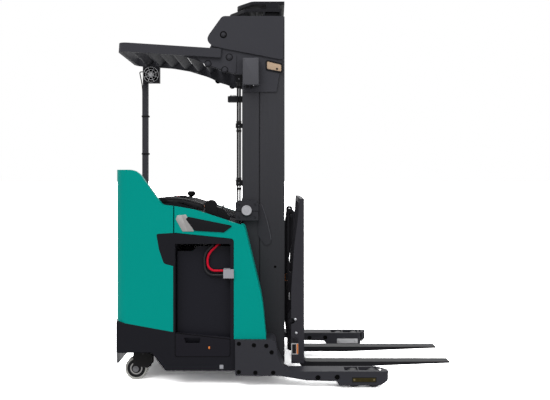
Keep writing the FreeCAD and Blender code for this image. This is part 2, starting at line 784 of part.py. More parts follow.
y_outer_web = half_mast - web
lift_cylinder_y = half_mast - lift_cylinder_inset
x_middle = (x_rail + web + running_gap, x_mast - web - running_gap)
y_middle_tip = y_outer_web - running_gap
y_middle_web = y_middle_tip - 24
y_middle_end = y_middle_web - middle_web - 34
x_inner = (x_middle[0] + middle_flange + running_gap, x_middle[1] - middle_flange - running_gap)
y_inner_web = y_middle_web - middle_web - running_gap
y_inner_end = y_inner_web - 64
x_roller = (x_inner[0] + x_inner[1]) / 2
x_lift = x_rail - 48
x_free_lift = x_rail - 38
middle_top = mast_top + stage_step
inner_top = middle_top + stage_step + 2
column_top = mast_top - 300


def outer_mast():
    """Fixed mast: outer channels, box columns behind them and the cross-ties."""
    lip = half_mast - flange
    inside = half_mast - column_width
    channel = [(x_rail, lip), (x_rail + web, lip), (x_rail + web, y_outer_web), (x_mast - web, y_outer_web),
               (x_mast - web, lip), (x_mast, lip), (x_mast, half_mast - 8), (x_mast - 34, half_mast),
               (x_rail, half_mast)]
    groove_y = half_mast - groove_depth
    column = [(x_column, inside), (x_rail, inside), (x_rail, groove_y), (x_rail - groove_width, groove_y),
              (x_rail - groove_width, half_mast), (x_column, half_mast, 12)]
    hollow = [(x_column + tube_wall, inside + tube_wall), (x_rail - tube_wall, inside + tube_wall),
              (x_rail - tube_wall, half_mast - tube_wall), (x_column + tube_wall, half_mast - tube_wall)]
    pieces = []
    for side in (-1, 1):
        pieces.append(prism("plan", rail_foot, mast_top, mirrored(channel, side)))
        pieces.append(prism("plan", rail_foot, column_top, mirrored(column, side), windows=[mirrored(hollow, side)]))
    for z, tall in ((rail_foot, 130), (rail_foot + 1050, 90), (mast_top - 400, 100)):
        pieces.append(box(x_column, x_column + 14, -inside, inside, z, z + tall))
    pieces.append(box(x_column, x_rail - 2, -inside, inside, rail_foot, rail_foot + foot_plate))
    hole = rod("Y", x_mast - 67, -half_mast - 1, rail_foot + 680, 9, web + 2)
    return node("outer_mast", cut(fuse(*pieces), hole))


def barrel(x, y, foot, top, radius, rod_radius):
    """A cylinder tube with a closed foot and a gland round its rod."""
    bore = rod_radius + 6
    gland = 30
    tube = [(bore, 12), (radius, 12), (radius, top - foot - 4), (radius - 4, top - foot), (rod_radius + 1, top - foot),
            (rod_radius + 1, top - foot - gland), (bore, top - foot - gland)]
    return fuse(turned("Z", x, y, foot, tube), rod("Z", x, y, foot, radius, 14))


def lift_cylinders():
    """Two main lift barrels standing on the mast foot."""
    foot = rail_foot + foot_plate
    barrels = [barrel(x_lift, lift_cylinder_y * side, foot, mast_top - 288, lift_cylinder_radius, lift_rod_radius)
               for side in (-1, 1)]
    return node("lift_cylinders", group(*barrels))


def middle_mast():
    """Middle stage: I-rails with thrust rollers, foot tie and the crosshead that the lift rods push."""
    rear, front = x_middle
    beam = [(rear, y_middle_end), (rear + middle_flange, y_middle_end),
            (rear + middle_flange, y_middle_web - middle_web), (front - middle_flange, y_middle_web - middle_web),
            (front - middle_flange, y_middle_end), (front, y_middle_end), (front, y_middle_tip),
            (front - middle_flange, y_middle_tip), (front - middle_flange, y_middle_web),
            (rear + middle_flange, y_middle_web), (rear + middle_flange, y_middle_tip), (rear, y_middle_tip)]
    under = middle_top - crosshead_rise
    pieces = []
    for side in (-1, 1):
        pieces.append(prism("plan", rail_foot, under, mirrored(beam, side)))
        low, high = both(side, y_middle_web - 1, y_outer_web - seat_gap)
        pieces.append(rod("Y", x_roller, low, rail_foot + 70, 46, high - low))
    tie_half = y_middle_end + 10
    pieces.append(box(rear - 16, rear, -tie_half, tie_half, rail_foot + 16, rail_foot + 80))
    wing = y_middle_tip
    yoke_out = [(front, -wing), (front, wing), (x_rail - 100, wing, 60), (x_rail - 230, wing - 190, 90),
                (x_rail - 230, 190 - wing, 90), (x_rail - 100, -wing, 60)]
    stage = y_inner_web + 5
    bay = lift_cylinder_y - 60
    yoke_in = [(front + 10, -stage), (front + 10, stage), (rear - 30, stage), (rear - 30, bay),
               (x_rail - 120, bay, 40), (x_rail - 150, bay - 60, 60), (x_rail - 150, 60 - bay, 60),
               (x_rail - 120, -bay, 40), (rear - 30, -bay), (rear - 30, -stage)]
    pieces.append(cut(prism("plan", under, middle_top, yoke_out), prism("plan", under - 5, middle_top + 5, yoke_in)))
    return node("middle_mast", fuse(*pieces))


def lift_rods():
    """Chromed rods of the main lift cylinders, fixed under the middle crosshead."""
    foot = rail_foot + 60
    rods = [rod("Z", x_lift, lift_cylinder_y * side, foot, lift_rod_radius, middle_top - crosshead_rise - foot)
            for side in (-1, 1)]
    return node("lift_rods", group(*rods))


def inner_mast():
    """Inner stage: channels that face inwards, slide pads, foot tie and crosshead."""
    rear, front = x_inner
    channel = [(rear, y_inner_end), (rear + inner_flange, y_inner_end), (rear + inner_flange, y_inner_web - inner_web),
               (front - inner_flange, y_inner_web - inner_web), (front - inner_flange, y_inner_end),
               (front, y_inner_end), (front, y_inner_web), (rear, y_inner_web)]
    under = inner_top - crosshead_rise
    tie = rail_foot + 90
    pieces = []
    for side in (-1, 1):
        pieces.append(prism("plan", rail_foot, under, mirrored(channel, side)))
        low, high = both(side, y_inner_web - 1, y_inner_web + running_gap - seat_gap)
        pieces.append(box(x_roller - 30, x_roller + 30, low, high, rail_foot + 20, rail_foot + 140))
    pieces.append(box(rear, rear + inner_flange, -y_inner_end, y_inner_end, tie, tie + 90))
    pieces.append(box(x_free_lift - 40, rear + 2, -45, 45, tie, tie + foot_plate))
    wing = y_inner_web
    head = [(x_mast, -wing), (x_mast, wing), (x_rail - 60, wing, 60), (x_rail - 175, wing - 150, 90),
            (x_rail - 175, 150 - wing, 90), (x_rail - 60, -wing, 60)]
    pieces.append(prism("plan", under, inner_top, head))
    return node("inner_mast", fuse(*pieces))


free_lift_top = cell("free_lift_top", 1450)
free_lift_radius = cell("free_lift_radius", 36)
free_rod_radius = cell("free_rod_radius", 20)


def free_lift():
    """Free-lift cylinder on the inner mast, with its rod and chain pulley head."""
    foot = rail_foot + 90 + foot_plate
    node("free_lift_cylinder", barrel(x_free_lift, 0, foot, free_lift_top, free_lift_radius, free_rod_radius))
    head = box(x_free_lift - 30, x_free_lift + 30, -90, 90, free_lift_top + 20, free_lift_top + 50)
    stem = rod("Z", x_free_lift, 0, foot + 40, free_rod_radius, free_lift_top + 25 - foot - 40)
    node("free_lift_rod", fuse(stem, head))


# ------------------------------------------------------------------ reach carriage
pivot_back = cell("pivot_back", 72)
scissor_reach = cell("scissor_reach", 121)
roller_stub = cell("roller_stub", 58)
carriage_plate = cell("carriage_plate", 20)
carriage_low = cell("carriage_low", 200)
carriage_over_arms = cell("carriage_over_arms", 40)
arm_side_gap = cell("arm_side_gap", 8)
arm_end = cell("arm_end", 30)
track_half = cell("track_half", 13)
track_room = cell("track_room", 420)
slider_radius = cell("slider_radius", 12)
centre_pin_radius = cell("centre_pin_radius", 14)
reach_tie = cell("reach_tie", 200)
reach_tie_offset = cell("reach_tie_offset", 25)
reach_pin_radius = cell("reach_pin_radius", 10)
reach_base_x = cell("reach_base_x", -76)
reach_base_drop = cell("reach_base_drop", 40)
eye_slack = cell("eye_slack", 18)

x_pivot = x_mast - pivot_back
x_head_pivot = x_pivot + scissor_reach
plate_out = y_inner_web - inner_web - roller_stub
plate_in = plate_out - carriage_plate
arm_b_in = plate_in - running_gap - arm_thickness
arm_a_in = arm_b_in - arm_side_gap - arm_thickness
carriage_top = scissor_foot + arm_length + carriage_over_arms
track_low = scissor_foot + arm_length - track_room
reach_base_z = carriage_top - reach_base_drop
scissor_rise = Size(math.sqrt(arm_length.number ** 2 - scissor_reach.number ** 2),
                    "sqrt(%s * %s - %s * %s)" % (arm_length.formula, arm_length.formula,
                                                 scissor_reach.formula, scissor_reach.formula))
track_top = scissor_foot + scissor_rise + 30


def track_slot(x):
    """Outline of a slider track in a side plate."""
    return [(x - track_half, track_low, 12), (x + track_half, track_low, 12),
            (x + track_half, track_top, 12), (x - track_half, track_top, 12)]


def side_plates(x_low, x_high, x_track, foot, extra_holes=()):
    """Left and right upright plates with a pivot hole and a slider track."""
    outline = [(x_low, foot, 20), (x_high, foot, 20), (x_high, carriage_top, 20), (x_low, carriage_top, 20)]
    holes = [(x_track, scissor_foot, slider_radius + bore_clearance)] + list(extra_holes)
    plates = []
    for side in (-1, 1):
        low, high = both(side, plate_in, plate_out)
        plates.append(prism("side", low, high, outline, holes=holes, windows=[track_slot(x_track)]))
    return plates


def mast_carriage():
    """Carriage on the inner rails: side plates with rollers, cross-ties and the reach cylinder's clevis."""
    x_low, x_high = x_inner[0] + 18, x_mast - 17
    pieces = side_plates(x_low, x_high, x_pivot, carriage_low)
    roller_radius = (x_inner[1] - x_inner[0]) / 2 - inner_flange - 3
    for side in (-1, 1):
        for z in (carriage_low + 90, carriage_top - 90):
            low, high = both(side, plate_out - 1, y_inner_web - inner_web - seat_gap)
            pieces.append(rod("Y", x_roller, low, z, roller_radius, high - low))
    tie = 12
    for z in (carriage_low + 30, carriage_top - 110):
        pieces.append(box(x_low, x_low + tie, -plate_in, plate_in, z, z + 100))
    ear = [(x_low + tie - 1, reach_base_z - 18), (reach_base_x + 16, reach_base_z - 18, 14),
           (reach_base_x + 16, reach_base_z + 18, 14), (x_low + tie - 1, reach_base_z + 18)]
    for side in (-1, 1):
        low, high = both(side, 16, 26)
        pieces.append(prism("side", low, high, ear))
    pieces.append(rod("Y", reach_base_x, -26, reach_base_z, reach_pin_radius, 52))
    return node("mast_carriage", fuse(*pieces))


def scissor_arm_set(name, inside, start_x, end_x, others):
    """A pair of arms side by side, from a low pin at start_x to a high slider at end_x."""
    lean = math.degrees(math.atan2(end_x.number - start_x.number, scissor_rise.number))
    half = arm_width / 2 - 5
    bar = [(-half, -arm_end, 28), (half, -arm_end, 28), (half, arm_length + arm_end, 28),
           (-half, arm_length + arm_end, 28)]
    centre_hole = [(0, arm_length / 2, centre_pin_radius + bore_clearance)] if name == "outer_scissor_arms" else []
    pieces = list(others)
    for side in (-1, 1):
        low, high = both(side, inside, inside + arm_thickness)
        pieces.append(prism("side", low, high, bar, holes=centre_hole))
        for z in (0, arm_length):
            low, high = both(side, inside + 1, plate_out - 2)
            pieces.append(rod("Y", 0, low, z, slider_radius, high - low))
    bars = fuse(*pieces)
    bars.Placement = Placement(Vector(start_x.number, 0, scissor_foot.number), Rotation(Vector(0, 1, 0), lean))
    bind(bars, "Placement.Base.x", start_x)
    bind(bars, "Placement.Base.z", scissor_foot)
    return node(name, bars)


def scissor_arms():
    """The crossing arm pairs that push the forks out level."""
    tube = 24
    stub = 30
    inner_parts = [rod("Y", reach_tie_offset, -stub, reach_tie, reach_pin_radius, 2 * stub)]
    for side in (-1, 1):
        low, high = both(side, stub, arm_a_in + 1)
        inner_parts.append(rod("Y", reach_tie_offset, low, reach_tie, tube, high - low))
        low, high = both(side, arm_a_in + 1, arm_b_in + arm_thickness)
        inner_parts.append(rod("Y", 0, low, arm_length / 2, centre_pin_radius, high - low))
    scissor_arm_set("inner_scissor_arms", arm_a_in, x_pivot, x_head_pivot, inner_parts)
    foot_tie = rod("Y", 0, -arm_b_in - 1, 90, 20, 2 * arm_b_in + 2)
    scissor_arm_set("outer_scissor_arms", arm_b_in, x_head_pivot, x_pivot, [foot_tie])


head_back = cell("head_back", 28)
head_front = cell("head_front", 24)
tilt_height = cell("tilt_height", 420)
tilt_pin_radius = cell("tilt_pin_radius", 16)
side_shift = cell("side_shift", 50)
ear_in = cell("ear_in", 345)
ear_thickness = cell("ear_thickness", 16)


def reach_head():
    """Front bracket of the scissor, with the tracks of the upper sliders."""
    pieces = side_plates(x_head_pivot - head_back, x_head_pivot + head_front, x_head_pivot, carriage_low - 30,
                         [(x_head_pivot, tilt_height, tilt_pin_radius + bore_clearance)])
    front = x_head_pivot + head_front
    pieces.append(box(front - 14, front, -plate_in - 1, plate_in + 1, tilt_height + 140, tilt_height + 220))
    return node("reach_head", fuse(*pieces))


def tilt_shafts():
    """Stub shafts that the fork carriage tilts with and slides along."""
    shafts = []
    for side in (-1, 1):
        low, high = both(side, plate_in - 2, ear_in + ear_thickness + side_shift + 15)
        shafts.append(rod("Y", x_head_pivot, low, tilt_height, tilt_pin_radius, high - low))
    return node("tilt_shafts", group(*shafts))


bar_thickness = cell("bar_thickness", 17)
bar_height = cell("bar_height", 76)
bar_half = cell("bar_half", 430)
lower_bar = cell("lower_bar", 160)
upper_bar = cell("upper_bar", 500)
x_shank = x_face - fork_thickness
x_bar = x_shank - bar_thickness


def fork_carriage():
    """Cross bars that carry the forks, with sliding ears on the tilt shafts."""
    pieces = [box(x_bar, x_shank, -bar_half, bar_half, z, z + bar_height) for z in (lower_bar, upper_bar)]
    ear = [(x_head_pivot - 26, tilt_height - 28, 24), (x_bar + 5, lower_bar + 20), (x_bar + 5, upper_bar + 60),
           (x_head_pivot - 26, tilt_height + 28, 24)]
    for side in (-1, 1):
        low, high = both(side, ear_in, ear_in + ear_thickness)
        pieces.append(prism("side", low, high, ear,
                            holes=[(x_head_pivot, tilt_height, tilt_pin_radius + bore_clearance)]))
    return node("fork_carriage", fuse(*pieces))


def load_backrest():
    """Load guard: tapering side plates, top bar and uprights."""
    half = backrest_width / 2
    inside = half - 20
    front = x_face - 8
    foot = 125
    rail = 640
    side_outline = [(front - 92, foot, 10), (front, foot, 10), (front, backrest_top), (front - 36, backrest_top),
                    (front - 40, 1180), (front - 70, 950, 200), (front - 92, rail, 200)]
    pieces = []
    for side in (-1, 1):
        low, high = both(side, inside, half)
        shaft_room = rod("Y", x_head_pivot, low - 5, tilt_height, tilt_pin_radius + 6, high - low + 10)
        pieces.append(cut(prism("side", low, high, side_outline), shaft_room))
        low, high = both(side, bar_half, inside + 1)
        for z in (lower_bar + 5, upper_bar + 5):
            pieces.append(box(x_bar, x_shank, low, high, z, z + 65))
    pieces.append(box(front - 30, front, -inside - 1, inside + 1, backrest_top - 40, backrest_top))
    pieces.append(box(x_shank - 5, front, -inside - 1, inside + 1, rail, rail + 50))
    for y in (-290, -100, 100, 290):
        pieces.append(box(front - 16, front, y - 12, y + 12, rail + 49, backrest_top - 39))
    return node("load_backrest", fuse(*pieces))


def forks():
    """Two forks: an upright shank, a rounded heel and a blade that thins to the tip."""
    low_z = fork_top - fork_thickness
    shank_top = upper_bar + 100
    outline = [(x_shank, low_z, 40), (x_face + 350, low_z), (x_tip, fork_top - 10), (x_tip, fork_top),
               (x_face, fork_top, 22), (x_face, shank_top, 8), (x_shank, shank_top, 8)]
    y = fork_spacing / 2
    pair = []
    for side in (-1, 1):
        low, high = both(side, y - fork_width / 2, y + fork_width / 2)
        pair.append(prism("side", low, high, outline))
    return node("forks", group(*pair))


def reach_cylinder():
    """Hydraulic cylinder between the carriage's upper tie and the inner arms."""
    lean = math.asin(scissor_reach.number / arm_length.number)
    pin_x = (x_pivot.number + reach_tie.number * math.sin(lean) + reach_tie_offset.number * math.cos(lean))
    pin_z = (scissor_foot.number + reach_tie.number * math.cos(lean) - reach_tie_offset.number * math.sin(lean))
    run_x = pin_x - reach_base_x.number
    run_z = reach_base_z.number - pin_z
    length = math.hypot(run_x, run_z)
    turn = 180 - math.degrees(math.atan2(run_x, run_z))
    half = 14
    eye = reach_pin_radius + eye_slack
    tube_end = length - 110
    tube = [(16, 44), (28, 44), (28, tube_end - 3), (25, tube_end), (12.5, tube_end), (12.5, tube_end - 20), (16, tube_end - 20)]
    base_eye = cut(rod("Y", 0, -half, 0, 22, 2 * half), rod("Y", 0, -half - 5, 0, reach_pin_radius + 0.05, 2 * half + 10))
    neck = rod("Z", 0, 0, reach_pin_radius + 5, 12, 25)
    shell = fuse(turned("Z", 0, 0, 0, tube), rod("Z", 0, 0, 34, 28, 12), neck, base_eye)
    ring = cut(rod("Y", 0, -half, length, eye + 9, 2 * half), rod("Y", 0, -half - 5, length, eye, 2 * half + 10))
    stem = fuse(rod("Z", 0, 0, 120, 12, length - eye - 3 - 120), ring)
    for name, item in (("reach_cylinder", shell), ("reach_rod", stem)):
        item.Placement = Placement(Vector(reach_base_x.number, 0, reach_base_z.number), Rotation(Vector(0, 1, 0), turn))
        node(name, item)


# ------------------------------------------------------------------ guard and fittings
guard_band = cell("guard_band", 64)
guard_slope = cell("guard_slope", 3.7)
guard_corner = cell("guard_corner", 80)
guard_bar = cell("guard_bar", 26)
guard_length = cell("guard_length", 740)
guard_far = cell("guard_far", 235)
guard_lug = cell("guard_lug", 5)
slat_pitch = cell("slat_pitch", 97)
slat_run = cell("slat_run", 46)
slat_edge = cell("slat_edge", 13)
arm_plate = cell("arm_plate", 12)
post_size = cell("post_size", 40)
post_inset = cell("post_inset", 46)
post_x = cell("post_x", 62)
bracket_plate = cell("bracket_plate", 8)
guard_half = half_mast + bracket_plate + seat_gap + guard_bar
post_y = guard_far - post_inset


def guard_foot(x):
    """Height of the guard band's lower edge above a point of the truck."""
    slope = math.tan(math.radians(guard_slope.number))
    drop = guard_band.number / math.cos(math.radians(guard_slope.number))
    return guard_top - drop - (as_size(x) - x_rear - guard_band.number * math.sin(math.radians(guard_slope.number))) * slope


def guard_plan(back, wall, length, bend):
    """Plan of the guard from its rear edge, narrower on the left where it only covers the operator."""
    right, left, wide = -guard_half + wall, guard_far - wall, guard_half - wall
    return [(back, right, bend), (length, right), (length, wide), (560, wide, 100), (300, left, 100), (back, left, bend)]


def guard_hoop():
    """Steel band round the sides and rear, drawn level with its upper edge at height zero."""
    end = guard_bar / 2
    outer = prism("plan", -guard_band, 0, guard_plan(0, 0, guard_length - end, guard_corner))
    bend = guard_corner - guard_bar
    inner = prism("plan", -guard_band - 5, 5, guard_plan(guard_bar, guard_bar, guard_length, bend))
    pieces = [cut(outer, inner)]
    for side in (-1, 1):
        pieces.append(rod("Z", guard_length - end, (guard_half - end) * side, -guard_band, end, guard_band))
    return pieces


def guard_arms():
    """Tapered inner plates that carry the front slats in to the mast."""
    outside = half_mast - seat_gap
    rear, front = x_column - 545, x_column - 10
    outline = [(rear, guard_foot(rear) + 40), (rear, guard_foot(rear) + 20), (x_column - 508, guard_foot(rear) + 18, 60),
               (x_column - 332, mast_top - 310, 200), (x_column - 114, mast_top - 399, 60), (front - 30, mast_top - 410, 20),
               (front, mast_top - 395, 14), (front, guard_foot(front) + guard_band - 18, 14)]
    lug = [(x_column - 351, guard_foot(rear) + 5), (x_column - 277, mast_top - 334, 40), (x_column - 173, mast_top - 371, 60),
           (x_column - 42, mast_top - 413, 14), (x_column - 39, mast_top - 271, 10), (x_column - 150, mast_top - 268)]
    arms = []
    for side in (-1, 1):
        low, high = both(side, outside - arm_plate, outside)
        arms.append(prism("side", low, high, outline))
        low, high = both(side, outside - 1, guard_half - guard_bar + 1)
        arms.append(box(rear + 60, rear + 260, low, high, guard_foot(rear) + 20, guard_foot(rear) + 36))
        low, high = both(side, guard_half - guard_bar, guard_half - guard_bar + guard_lug)
        arms.append(prism("side", low, high, lug))
    return arms


def overhead_guard():
    """Hoop with leaning cross slats, sloping down to the mast, and its rear post."""
    shift = guard_band * math.sin(math.radians(guard_slope.number))
    low, high = 10 - guard_band, -12
    slats = []
    for i in range(8):
        x = 95 + slat_pitch * i
        half = guard_half if i < 6 else half_mast - arm_plate + 1
        slats.append(prism("side", -half, half, [(x, low), (x + slat_edge, low), (x + slat_run + slat_edge, high),
                                                 (x + slat_run, high)]))
    wall = guard_bar - 1
    room = prism("plan", -guard_band, 0, guard_plan(wall, wall, guard_length + 100, guard_corner - wall))
    hoop = fuse(*guard_hoop(), common(fuse(*slats), room))
    hoop.Placement = Placement(Vector((x_rear + shift).number, 0, guard_top.number),
                               Rotation(Vector(0, 1, 0), guard_slope.number))
    bind(hoop, "Placement.Base.x", x_rear + shift)
    bind(hoop, "Placement.Base.z", guard_top)
    rear, front = x_rear + post_x, x_rear + post_x + post_size
    post = prism("side", post_y, post_y + post_size,
                 [(rear, drive_cover_top), (front, drive_cover_top), (front, guard_foot(front) + 4),
                  (rear, guard_foot(rear) + 4)])
    return node("overhead_guard", fuse(hoop, post, *guard_arms()))


def mast_head_plates():
    """Side plates at the mast top: a base layer that carries the guard, and a raised layer on it."""
    foot = mast_top - 538
    step = column_top - 113
    base = [(x_mast - 10, mast_top - 8), (x_mast - 18, column_top - 6), (x_mast - 57, foot, 10), (x_column + 8, foot),
            (x_column + 8, step), (x_column - 42, step, 25), (x_column - 245, step + 60, 30),
            (x_column - 275, step + 100), (x_column - 190, mast_top - 150), (x_column - 120, mast_top - 8)]
    raised = [(x_mast - 4, mast_top - 2, 8), (x_mast - 12, mast_top - 306), (x_mast - 36, mast_top - 308, 10),
              (x_column - 169, mast_top - 224), (x_column - 210, mast_top - 216, 30),
              (x_column - 252, mast_top - 170, 40), (x_column - 232, mast_top - 130), (x_column - 140, mast_top - 2, 40)]
    sides = []
    for side in (-1, 1):
        low, high = both(side, half_mast, half_mast + bracket_plate)
        layer = prism("side", low, high, base)
        low, high = both(side, half_mast + bracket_plate - 1, half_mast + bracket_plate + 10)
        sides.append(fuse(layer, prism("side", low, high, raised)))
    return node("mast_head_plates", group(*sides))


fan_size = cell("fan_size", 132)
fan_depth = cell("fan_depth", 44)
fan_x = cell("fan_x", 118)
fan_shaft_radius = cell("fan_shaft_radius", 4)
fan_height = cell("fan_height", 2246)
fan_lead_radius = cell("fan_lead_radius", 4)


def fan():
    """Small operator fan on the rear post, under the guard."""
    x = x_body + fan_x
    z = fan_height
    half = fan_size / 2
    front = post_y - 6 - fan_depth
    back = front + fan_depth
    ring = cut(box(x - half, x + half, front, back, z - half, z + half),
               rod("Y", x, front - 5, z, half - 6, fan_depth + 10))
    spider = box(x - half + 3, x + half - 3, back - 8, back - 2, z - 5, z + 5)
    motor = rod("Y", x, back - 14, z, 16, 14)
    stay = box(x_rear + post_x + 6, x_rear + post_x + 34, back - 1, post_y, z - 40, z + 40)
    shaft_hole = rod("Y", x, back - 20, z, fan_shaft_radius + bore_clearance, 19)
    node("fan_housing", cut(fuse(ring, spider, motor, stay), shaft_hole))
    blades = [rod("Y", x, front + 6, z, 15, 20), rod("Y", x, front + 20, z, fan_shaft_radius, fan_depth - 26)]
    for i in range(5):
        blade = DOC.addObject("Part::Box", "blade")
        blade.Length, blade.Width, blade.Height = 48, 3, 20
        turn = Rotation(Vector(0, 1, 0), 72 * i).multiply(Rotation(Vector(1, 0, 0), 30))
        blade.Placement = Placement(turn.multVec(Vector(0, -1.5, -10)) + Vector(x.number, front.number + 15, z.number), turn)
        blades.append(blade)
    node("fan_rotor", fuse(*blades))


def mast_clamps():
    """Split clamp blocks on the columns, each with a turned cover disc and a gusset to the rail."""
    depth = 40
    foot = nose_height + 28
    top = foot + 140
    rear = x_column - 45
    front = x_rail - 12
    outline = [(rear, foot, 6), (front, foot, 6), (front, top, 30), (rear, top, 24)]
    gusset = [(front - 2, top - 25), (front + 26, top - 25), (front + 72, top - 150, 200), (front + 94, top - 280, 20),
              (front + 82, top - 310, 20), (front + 48, top - 319, 12), (front - 2, top - 250)]
    blocks = []
    for side in (-1, 1):
        low, high = both(side, half_mast, half_mast + depth)
        block = prism("side", low, high, outline)
        low, high = both(side, half_mast + depth - 6, half_mast + depth + 1)
        block = cut(block, box(rear - 1, front + 1, low, high, foot + 64, foot + 68))
        low, high = both(side, half_mast + depth - 8, half_mast + depth + 12)
        disc = rod("Y", x_column + 34, low, top - 68, 37, high - low)
        low, high = both(side, half_mast, half_mast + 6)
        blocks.append(fuse(block, disc, prism("side", low, high, gusset)))
    return node("mast_clamps", group(*blocks))


hose_radius = cell("hose_radius", 7)
hose_y = half_mast - 9
grommet_radius = hose_radius + 1.5


def mast_hoses():
    """Two hydraulic hoses up the back of the right column, with their grommets, clips and top block."""
    top = column_top - 168
    back = x_column - 45
    pieces = []
    for x in (x_column - 15, x_column - 31):
        foot = hood_line(x - grommet_radius) + seat_gap
        pieces.append(cord([(x, -hose_y, foot), (x, -hose_y, top + 5)], hose_radius))
        pieces.append(rod("Z", x, -hose_y, foot, grommet_radius, 14))
    for low, high in ((top, top + 48), (mast_top - 793, mast_top - 761), (mast_top - 1205, mast_top - 1163)):
        pieces.append(box(back, x_column, -half_mast + 1, 20 - half_mast, low, high))
    return node("mast_hoses", fuse(*pieces))


def fan_cable():
    """Lead from the fan, looped behind the guard post and held against it down to the drive cover."""
    x = x_body + fan_x - fan_size / 2
    y = post_y - 6 - fan_depth / 2
    z = fan_height + 25
    x_run = x_rear + post_x - fan_lead_radius - seat_gap
    y_run = post_y + post_size / 2
    route = [(x, y, z), (x_run - 16, y, z), (x_run, y_run, z - 115), (x_run, y_run, drive_cover_top + seat_gap)]
    return node("fan_cable", cord(route, fan_lead_radius))


def mast_electrics():
    """Junction box on the head plate and the work light behind the column."""
    face = -(half_mast + bracket_plate)
    junction = box(x_column + 8, x_column + 120, face - 60, face, column_top - 196, column_top + 4 - 10)
    light = box(x_column - 98, x_column, 20 - half_mast, 70 - half_mast, column_top - 306, column_top - 264)
    return node("mast_electrics", group(junction, light))


tiller_radius = cell("tiller_radius", 112)
tiller_x = cell("tiller_x", 79)
tiller_y = cell("tiller_y", 250)


def steering_tiller():
    """Steering disc with its spinner knob, on the left of the dash."""
    x = x_seam - tiller_x
    base = dash_top + seat_gap
    rim = tiller_radius - 6
    disc = turned("Z", x, tiller_y, base, [(0, 0), (34, 0), (34, 8), (rim, 8), (tiller_radius, 12), (rim, 18), (0, 18)])
    knob = turned("Z", x + tiller_radius - 12, tiller_y, base + 17,
                  [(0, 0), (12, 0), (22, 6), (32, 16), (32, 34), (22, 45), (0, 45)])
    node("steering_tiller", fuse(disc, knob))


def control_handle():
    """Multi-function control on the hood beside the arm rest: a domed pod and a lower finger module."""
    y = 62 - inner_wall
    rear, front = x_seam + 209, x_seam + 291
    top = dash_top + 17
    pod = [(rear, hood_line(rear) + seat_gap), (front, hood_line(front) + seat_gap), (front, top, 36), (rear, top, 36)]
    toe = front + 88
    module = [(front - 20, hood_line(front - 20) + seat_gap), (toe, hood_line(toe) + seat_gap),
              (toe, hood_line(toe) + 24, 8), (front + 50, top - 62, 40), (front - 20, top - 40)]
    node("control_handle", fuse(prism("side", y - 30, y + 30, pod), prism("side", y - 24, y + 24, module)))


connector_rear = cell("connector_rear", 69)
connector_low = cell("connector_low", 747)
connector_high = cell("connector_high", 808)
cable_radius = cell("cable_radius", 8)
x_connector = x_bay_front - connector_rear
y_cable = half_body - 44


def battery_connector():
    """Battery connector on the bay's front post: a flange over the post and the plug body behind it."""
    flange_in = half_body + seat_gap
    cover = box(x_connector, x_bay_front + 2, -flange_in - 14, -flange_in, connector_low, connector_high)
    plug = box(x_connector, x_post - 2, -flange_in - 2, 12 - y_cable, connector_low, connector_high)
    node("battery_connector", fuse(cover, plug))


def battery_cables():
    """Two battery leads, each looped from the cell top over the rim and down to the connector."""
    top = bay_floor + battery_height
    inboard = y_cable - 61
    for name, x, swing, end in (("battery_lead_red", 105, 80, connector_high - 16),
                                ("battery_lead_black", 136, 70, connector_low + 15)):
        x_start = x_bay_front - x
        x_turn = x_start - swing
        over = top + 18
        route = [(x_start, -inboard, top - 40), (x_start, -inboard, over), (x_start, -y_cable, over),
                 (x_turn, -y_cable, over - swing), (x_turn + 8, -y_cable, end), (x_connector, -y_cable, end)]
        node(name, cord(route, cable_radius))


PIECES = [main_frame, rear_bumper, right_rear_panel, drive_cover, front_panels, bay_trims, battery_gates, battery,
          hood, console, floor_mat, operator_pads, load_wheels, caster, drive_unit, base_legs, outer_mast,
          lift_cylinders, middle_mast, lift_rods, inner_mast, free_lift, mast_carriage, scissor_arms, reach_head,
          tilt_shafts, fork_carriage, load_backrest, forks, reach_cylinder, overhead_guard, mast_head_plates, fan,
          mast_clamps, mast_electrics, steering_tiller, control_handle, battery_connector, battery_cables,
          mast_hoses, fan_cable]


def write_parts():
    """Check every object and each finished sub-part, then write the STEP files."""
    DOC.recompute()
    for item in DOC.Objects:
        if "Invalid" in item.State or "Error" in item.State:
            raise RuntimeError("failed: %s %s" % (item.Name, item.Label))
    os.makedirs("parts", exist_ok=True)
    for item in NODES:
        if item.Shape.isNull() or not item.Shape.isValid():
            raise RuntimeError("bad shape: " + item.Label)
    for item in NODES:
        item.Shape.exportStep("parts/%s.step" % item.Label)


for build_piece in PIECES:
    build_piece()
write_parts()
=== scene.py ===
"""Looks of a stand-up reach truck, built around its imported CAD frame.

Metres, in the frame's own axes: +X is the way the forks point, +Y is the truck's left, +Z is up.
"""
import math

